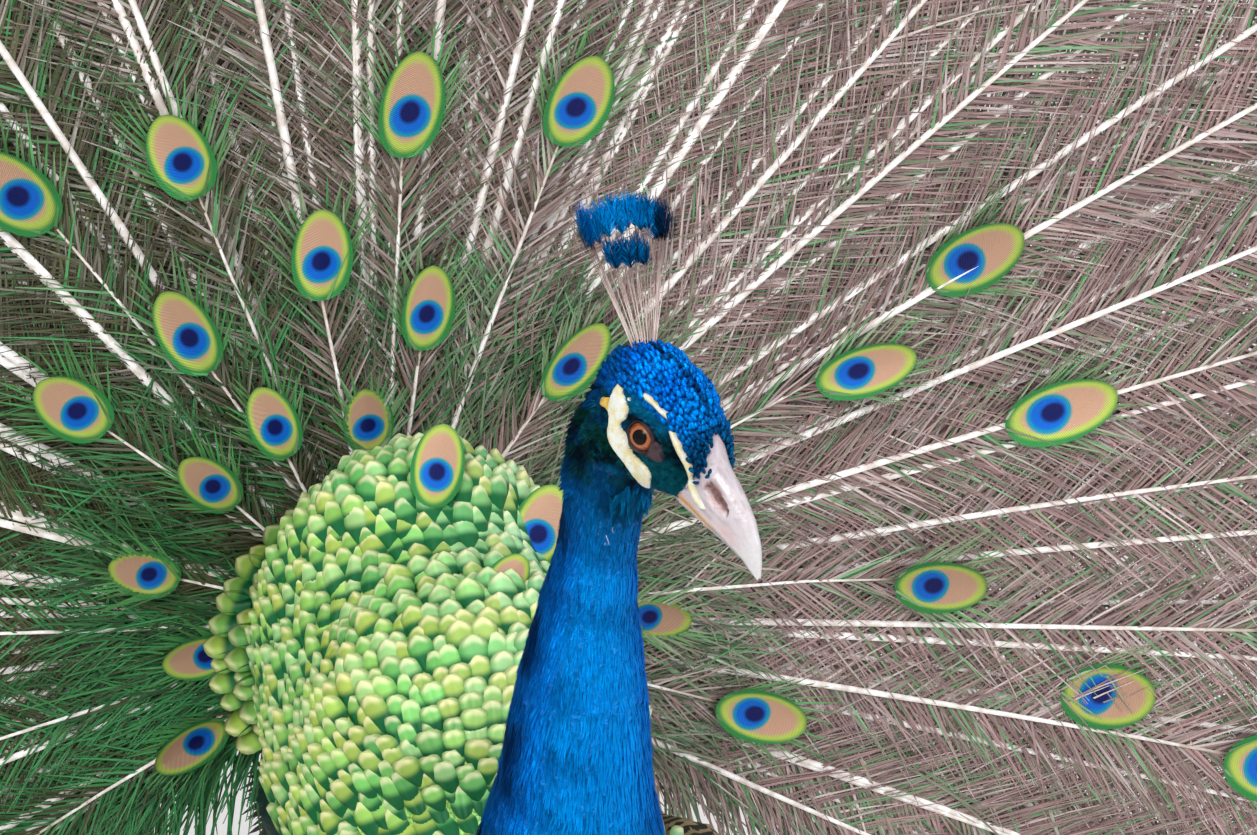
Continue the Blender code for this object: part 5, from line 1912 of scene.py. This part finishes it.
# %% Eye spot finish
def make_eye_spot_finish():
    made, tree, shader = start_finish("eye spot", Roughness=0.4, Metallic=0.3, Specular_IOR_Level=0.25)
    vane = vane_lines(tree, 56, 9)
    laid = vane_map(tree)
    ragged = calc(tree, "MULTIPLY_ADD", vane["Height"], 0.03, -0.015)
    field, disc, heart = (calc(tree, "ADD", oval(tree, laid, centre, radii), ragged) for centre, radii in (
        ((0.5, 0.52), (0.36, 0.40)), ((0.5, 0.39), (0.30, 0.19)), ((0.5, 0.425), (0.17, 0.115))))
    colour = mixed(tree, step(tree, field, 1.06, 1.26), tone(186, 206, 92), tone(50, 138, 70))
    for edge, low, high, inner in (
        (field, 0.84, 1.06, tone(204, 162, 136)),
        (disc, 0.98, 1.16, tone(16, 150, 176)),
        (disc, 0.74, 0.98, tone(0, 104, 214)),
        (heart, 0.7, 1.15, tone(4, 18, 92)),
    ):
        colour = mixed(tree, step(tree, edge, low, high), inner, colour)
    # Painted shade in the gaps between barbs.
    colour = mixed(tree, shade_between_barbs(tree, vane, 0.14), colour, np.zeros(3))
    dress(tree, shader, mixed(tree, 1.0, colour, own_tone(tree), "MULTIPLY"), vane["Height"], 0.0003)
    return made


def egg(v):
    """Half width of an eye spot: an egg, broadest towards the shaft."""
    return 0.5 * max(0.0, 1 - (2 * v**0.9 - 1) ** 2) ** 0.5 if 0 < v < 1 else 0.02


EYE_SPOT = make_eye_spot_finish()

# %% Eye spots
LEAF = shape_set("leaf", shape(blade(egg, 8, 14, 0.10, 0.05, flat_map=True)))
LEAF_PATCH = 0.055  # of the bake map
EYE_RADII = (0.1, 0.17, 0.265, 0.4, 0.8, 1.1)
rng = np.random.default_rng(64)
angle, eye, forward = FEATHERS.T
count = len(eye)
along, across, front = dish_axes(angle, eye)
long = np.interp(eye, EYE_RADII, (0.036, 0.045, 0.050, 0.055, 0.060, 0.062)) * rng.uniform(0.92, 1.08, count)
wide = np.interp(eye, EYE_RADII, (0.022, 0.026, 0.029, 0.035, 0.042, 0.044)) * rng.uniform(0.92, 1.08, count)
roots = dish(angle, eye - 0.40 * long, forward + 0.0045)
lie = along + across * rng.normal(0, 0.10, (count, 1)) + front * rng.normal(0.02, 0.05, (count, 1))
cell = np.arange(count)
laid = np.c_[(cell % 16 + 0.5) / 16, (cell // 16 + 0.5) / 16]
tones = jittered(np.full((count, 3), 0.85), 0.15, 65)
ride_on(plant("eye_spots", LEAF, roots, front, lie, np.c_[wide, long, long], tones, EYE_SPOT, laid,
              patch=LEAF_PATCH), "train_feathers", "train")

# The shortest train feathers come up between the scales on the bird's left, facing forwards.
hearts = np.array([(0.0055, 0.0777, 0.5792), (0.0500, 0.0733, 0.5445), (0.0173, 0.0152, 0.5519)])
facing = np.tile((-0.23, -0.865, 0.44), (3, 1))
upward = np.array([(math.sin(a), 0.0, math.cos(a)) for a in np.radians((10, 22, 38))])
upward = unit(upward - facing * (upward * facing).sum(1)[:, None])
size = barb_size((0.0235, 0.0260, 0.0180), np.array((0.037, 0.040, 0.028)))
feet = hearts + facing * 0.010 - upward * 0.425 * size[:, 1:2]
ride_on(plant("shield_eye_spots", LEAF, feet, facing, upward, size, np.full((3, 3), 0.9), EYE_SPOT,
              np.array([(0.2, 0.5), (0.5, 0.5), (0.8, 0.5)]), patch=LEAF_PATCH), "train_feathers")
print("eye spots", count, "and between the scales", len(hearts))

# %% Fringes of the eye spots
fringe = []
for k in range(len(FEATHERS)):
    for side in (1, -1):
        for t in np.linspace(0.0, 1.0, 15):
            v = 0.02 + 0.93 * t + rng.uniform(-0.02, 0.02)
            half = egg(v)
            place = roots[k] + lie[k] / np.linalg.norm(lie[k]) * v * long[k]
            place = place + across[k] * side * half * wide[k] * 0.8 - front[k] * 0.001
            lean = math.radians(np.interp(v, (0, 0.6, 1.0), (38, 30, 6)) + rng.normal(0, 6)) * side
            way = along[k] * math.cos(lean) + across[k] * math.sin(lean)
            reach = np.interp(v, (0, 0.5, 1.0), (0.030, 0.030, 0.020)) * rng.uniform(0.7, 1.15)
            reach *= min(1.0, 0.35 + 3 * eye[k])
            fringe.append((*place, *way, *front[k], reach, angle[k], eye[k], side))
fringe = np.array(fringe)
angles, radii = fringe[:, 10], fringe[:, 11]
green = blend(train_tone(angles, 66), tone(70, 150, 76), 0.35 + 0.4 * rng.uniform(0, 1, len(fringe)))
ways = fringe[:, 3:6] + rng.normal(0, 0.05, (len(fringe), 3))
loose_barbs("eye_spot_fringes", fringe[:, :3], angles, radii, fringe[:, 6:9], ways,
            barb_size(0.0013, fringe[:, 9]), green, (fringe[:, 12] < 0).astype(int))

# %% Loose barbs round the shield, on the lower edges and the rim

# Short loose feathers hide the crowded shafts round the shield.
SHORT, HANGING = 4400, 1400
angle = np.radians(rng.uniform(-TRAIN_SPREAD, TRAIN_SPREAD, SHORT))
r = 0.045 + rng.uniform(0, 1, SHORT) ** 0.8 * np.interp(angle, (-1.5, -0.7), (0.090, 0.130))
axes = dish_axes(angle, r)
lie = leaning(axes, np.radians(rng.normal(0, 26, SHORT)), rng.normal(0.04, 0.09, (SHORT, 1)))
size = barb_size(0.0014, rng.uniform(0.026, 0.052, SHORT) * np.interp(r, (0.05, 0.16), (1.1, 0.8)))
tones = layered(
    train_tone(angle, 69),
    (tone(60, 148, 84), rng.uniform(0.1, 0.85, SHORT) * np.interp(angle, (-0.5, 1.6), (1.0, 0.75))),
    (tone(30, 34, 24), 0.55 * (rng.uniform(0, 1, SHORT) < 0.3)))
roots = dish(angle, r, rng.uniform(0.010, 0.0165, SHORT))
loose_barbs("short_loose_barbs", roots, angle, r, axes[2], lie, size, tones, rng.integers(0, 2, SHORT))

# Loose green barbs hang below the fan's lower edges.
angle, r = np.array([
    (sign * math.radians(TRAIN_SPREAD - rng.uniform(0, 14)), 0.03 + 0.5 * rng.uniform(0, 1) ** 1.6)
    for _ in range(HANGING // 2) for sign in (1, -1)]).T
axes = dish_axes(angle, r)
lie = leaning(axes, np.sign(angle) * np.radians(rng.uniform(8, 62, HANGING)),
              rng.normal(0, 0.12, (HANGING, 1)))
size = barb_size(0.0017, rng.uniform(0.05, 0.11, HANGING) * np.interp(r, (0.03, 0.15), (0.8, 1.0)))
roots = dish(angle, r, rng.uniform(-0.004, 0.012, HANGING))
tones = blend(train_tone(angle, 68), tone(44, 128, 72), rng.uniform(0.1, 0.8, HANGING))
loose_barbs("lower_edge_barbs", roots, angle, r, axes[2], lie, size, tones, rng.integers(0, 2, HANGING))

# The longest feathers end in open forks without an eye.
forks = []
for angle in np.radians(np.arange(-TRAIN_SPREAD + 1, TRAIN_SPREAD, 3.6)):
    start = train_reach(angle) * 0.965 - 0.11
    for side in (1, -1):
        for t in np.linspace(0, 1, 16):
            lean = math.radians(np.interp(t, (0, 1), (36, 20)) + rng.normal(0, 4)) * side
            reach = np.interp(t, (0, 0.7, 1), (0.05, 0.042, 0.03)) * rng.uniform(0.8, 1.1)
            forks.append((angle, start + 0.105 * t, lean, reach, side))
angle, r, lean, reach, side = np.array(forks).T
axes = dish_axes(angle, r)
tones = blend(train_tone(angle, 67), tone(60, 120, 66), np.full(len(forks), 0.5))
loose_barbs("rim_forks", dish(angle, r, rng.uniform(0, 0.004, len(forks))), angle, r, axes[2],
            leaning(axes, lean), barb_size(0.0022, reach), tones, (side < 0).astype(int))

# %% Ruff of scales
# Rings of scales stand round the shield and lead over to the train: radius and degrees apart.
RUFF_RINGS = ((0.024, 16), (0.036, 12), (0.048, 10), (0.059, 8.5), (0.069, 7.5))
angle, r = np.array([(math.radians(a + rng.uniform(-2, 2)), radius) for radius, apart in RUFF_RINGS
                     for a in np.arange(-122, 122, apart)]).T
along, _, front = dish_axes(angle, r)
tones = layered(
    LIME,
    (GOLD, 0.8 * smooth(0.2, -0.9, angle)),
    (FERN, 0.7 * rng.uniform(0, 1, len(angle))))
size = sized(rng, (12.5, 17.5, 15.5), 0.85, 1.15, len(angle))
ride_on(plant("ruff_feathers", SCALE, dish(angle, r, 0.036 - 0.16 * r), front, along + 0.16 * front,
              size, tones, SCALES, dish_laid(angle, r + 0.02), patch=0.010), "shield_scales")
print("ruff", len(angle), "scales")

# %% [markdown]
# ## Tail and flight feathers
# Twenty plain, stiff feathers stand behind the train and hold it up. The rusty flight feathers
# hang below each wing. Both are long vanes round a shaft.

# %% Tail and flight feathers
TAIL, FLIGHT = 20, 7  # how many of each


def stiff_vane(v):
    return 0.5 * min(1.0, 0.25 + 2.2 * v) * math.sqrt(max(0.0, 1 - max(0.0, (v - 0.86) / 0.14) ** 2))


def make_vane_finish():
    made, tree, shader = start_finish("stiff flight vanes", Roughness=0.6)
    vane = vane_lines(tree, 150, 26)
    # Painted shade in the gaps between barbs.
    colour = mixed(tree, shade_between_barbs(tree, vane, 0.35), own_tone(tree), np.zeros(3))
    colour = mixed(tree, part(tree, grain(tree, 45.0), 0.35), colour, tone(60, 46, 38))
    colour = mixed(tree, vane["Shaft"], colour, tone(196, 180, 156))
    dress(tree, shader, colour, vane["Height"], 0.0005)
    return made


QUILL = shape_set("quill", shape(blade(stiff_vane, 4, 16, 0.10, 0.03)))
VANES = make_vane_finish()


def quills(name, roots, out, ray, wide, reach, tones, patch, slot, node):
    count = len(reach)
    laid = np.c_[(np.arange(count) + 0.5) / count, np.full(count, 0.5)]
    made = plant(name, QUILL, roots, out, ray, barb_size(wide, reach), tones, VANES, laid, patch=patch)
    ride_on(made, slot, node)
    print(name, count, "up to", round(1000 * reach.max()), "mm long")


TAIL_ROOT = np.array([0.0, 0.245, 0.430]) + np.array(PLACE)
turn = np.radians(np.linspace(-86, 86, TAIL))
ray = np.stack([np.sin(turn), 0 * turn - 0.04, np.cos(turn)], -1)
behind = np.outer(0.0009 * np.arange(TAIL) % 0.003, (0.0, 1.0, 0.0))
quills("tail_quills", TAIL_ROOT + ray * 0.02 + behind, (0.0, -1.0, 0.0), ray, 0.062,
       0.415 * (1 - 0.1 * np.abs(turn)), jittered(np.tile(tone(104, 86, 70), (TAIL, 1)), 0.2, 70),
       0.045, "tail_feathers", "tail")
for side, which in SIDES:
    root = np.array([0.106 * side, 0.070, 0.345]) + np.array(PLACE)
    turn = np.radians(np.linspace(26, 64, FLIGHT))
    up = np.array([0.0995 * side, 0.0, -0.995])
    ray = np.sin(turn)[:, None] * np.array([0.0, 1.0, 0.0]) + np.cos(turn)[:, None] * up
    roots = root + ray * 0.035 + np.outer(np.arange(FLIGHT) * 0.0012 - 0.003, (side, 0, 0.1))
    quills("flight_feathers_" + which, roots, (side, 0.0, 0.1), ray, 0.036, 0.15 + 0.13 * np.sin(turn) - 0.03,
           jittered(np.tile(tone(160, 92, 50), (FLIGHT, 1)), 0.15, 71),
           0.12, "flight_feathers", "primaries_" + which)

# %% [markdown]
# ## Legs, claws and spurs
# The solids of the legs are right but faceted, so a fine remesh of each is smoothed and given the
# rings of hard plates that a bird's leg has. The claws and spurs keep their solids.


# %% Legs
def make_leg_finish():
    made, tree, shader = start_finish("scaled leg skin", Roughness=0.5)
    here = own_place(tree)
    split = add(tree, "ShaderNodeSeparateXYZ", None, [here])
    wobble = part(tree, grain(tree, 120.0, 0.2, 0.8), 0.6)
    plates = calc(tree, "FRACT", calc(tree, "MULTIPLY_ADD", split.outputs[2], 210.0, wobble))
    groove = rest(tree, step(tree, plates, 0.0, 0.16))
    cells = add(tree, "ShaderNodeTexVoronoi", {"feature": "DISTANCE_TO_EDGE"},
                {"Vector": here, "Scale": 320.0})
    seams = rest(tree, step(tree, cells.outputs["Distance"], 0.02, 0.09))
    dark = calc(tree, "MAXIMUM", part(tree, groove, 0.8), part(tree, seams, 0.5))
    colour = mixed(tree, grain(tree, 70.0), tone(142, 126, 110), tone(112, 98, 88))
    dress(tree, shader, mixed(tree, dark, colour, tone(62, 52, 46)), rest(tree, dark), 0.0010, 0.8)
    return made


LEG_SKIN = make_leg_finish()
for _, which in SIDES:
    for node, voxel in (("shank_", 0.0011), ("foot_", 0.0009)):
        leg = placed("scaled_" + node + which, frame["nodes"][node + which].data.copy())
        melt(leg, voxel, 3)
        give(leg, LEG_SKIN)
        ride_on(leg, "leg_skin", node + which)
        print(leg.name, len(leg.data.polygons), "faces")

# %% Claws and spurs
CLAW_FINISH, tree, shader = start_finish(
    "dark horn claw", Roughness=0.35, Coat_Weight=0.3, Coat_Roughness=0.25)
claw_grain = grain(tree, 400.0)
dress(tree, shader, mixed(tree, claw_grain, tone(58, 48, 42), tone(96, 82, 70)), claw_grain, 0.0003)
claws = [solid for name, solid in frame["nodes"].items() if name.startswith(("claw", "spur"))]
for solid in claws:
    give(solid, CLAW_FINISH)
print("claws and spurs", len(claws))

# %% [markdown]
# ## Floor, light and camera
# A pale floor, a soft sky and three large soft lamps, as in a studio. The camera looks down the
# same way as someone standing a step away with a short telephoto lens.

# %% Floor
FLOOR_FINISH, tree, shader = start_finish("pale studio floor", Roughness=0.9)
shader.inputs["Base Color"].default_value = (*tone(222, 218, 214), 1.0)
sheet = bmesh.new()
bmesh.ops.create_circle(sheet, cap_ends=True, segments=96, radius=9.0)
floor = new_object("floor", sheet)
floor.data.materials.append(FLOOR_FINISH)

# %% Lights
world = bpy.data.worlds.new("soft studio")
bpy.context.scene.world = world
world.use_nodes = True
world.node_tree.nodes["Background"].inputs["Color"].default_value = (0.92, 0.95, 1.0, 1.0)
world.node_tree.nodes["Background"].inputs["Strength"].default_value = 0.75
bpy.context.scene.view_settings.view_transform = "Standard"


def lamp(name, place, target, size, power, colour=(1.0, 1.0, 1.0)):
    light = bpy.data.lights.new(name, "AREA")
    light.shape, light.size, light.energy, light.color = "DISK", size, power, colour
    made = placed(name, light)
    made.location = place
    made.rotation_euler = (Vector(target) - Vector(place)).to_track_quat("-Z", "Y").to_euler()


lamp("key", (-1.6, -2.6, 3.2), (0.0, 0.0, 0.7), 1.6, 120.0, (1.0, 0.98, 0.95))
lamp("fill", (2.6, -2.2, 1.8), (0.0, 0.0, 0.7), 2.0, 45.0)
lamp("top", (0.2, 0.6, 3.6), (0.0, 0.0, 0.6), 1.8, 60.0, (0.96, 0.98, 1.0))

# %% Camera
AZIMUTH, ELEVATION, DISTANCE = math.radians(-17.0), math.radians(25.0), 1.70
LENS, SENSOR = 131.33, 36.0  # mm
right = Vector((math.cos(AZIMUTH), math.sin(AZIMUTH), 0.0))
back = Vector((math.sin(AZIMUTH) * math.cos(ELEVATION), -math.cos(AZIMUTH) * math.cos(ELEVATION),
               math.sin(ELEVATION)))
upward = back.cross(right)
view = bpy.data.cameras.new("camera")
view.lens, view.sensor_width, view.clip_start = LENS, SENSOR, 0.05
camera = placed("camera", view)
spot = HEAD_AT + PLACE + back * DISTANCE - right * 0.01342 + upward * 0.0040
camera.matrix_world = Matrix.Translation(spot) @ Matrix((right, upward, back)).transposed().to_4x4()
bpy.context.scene.camera = camera
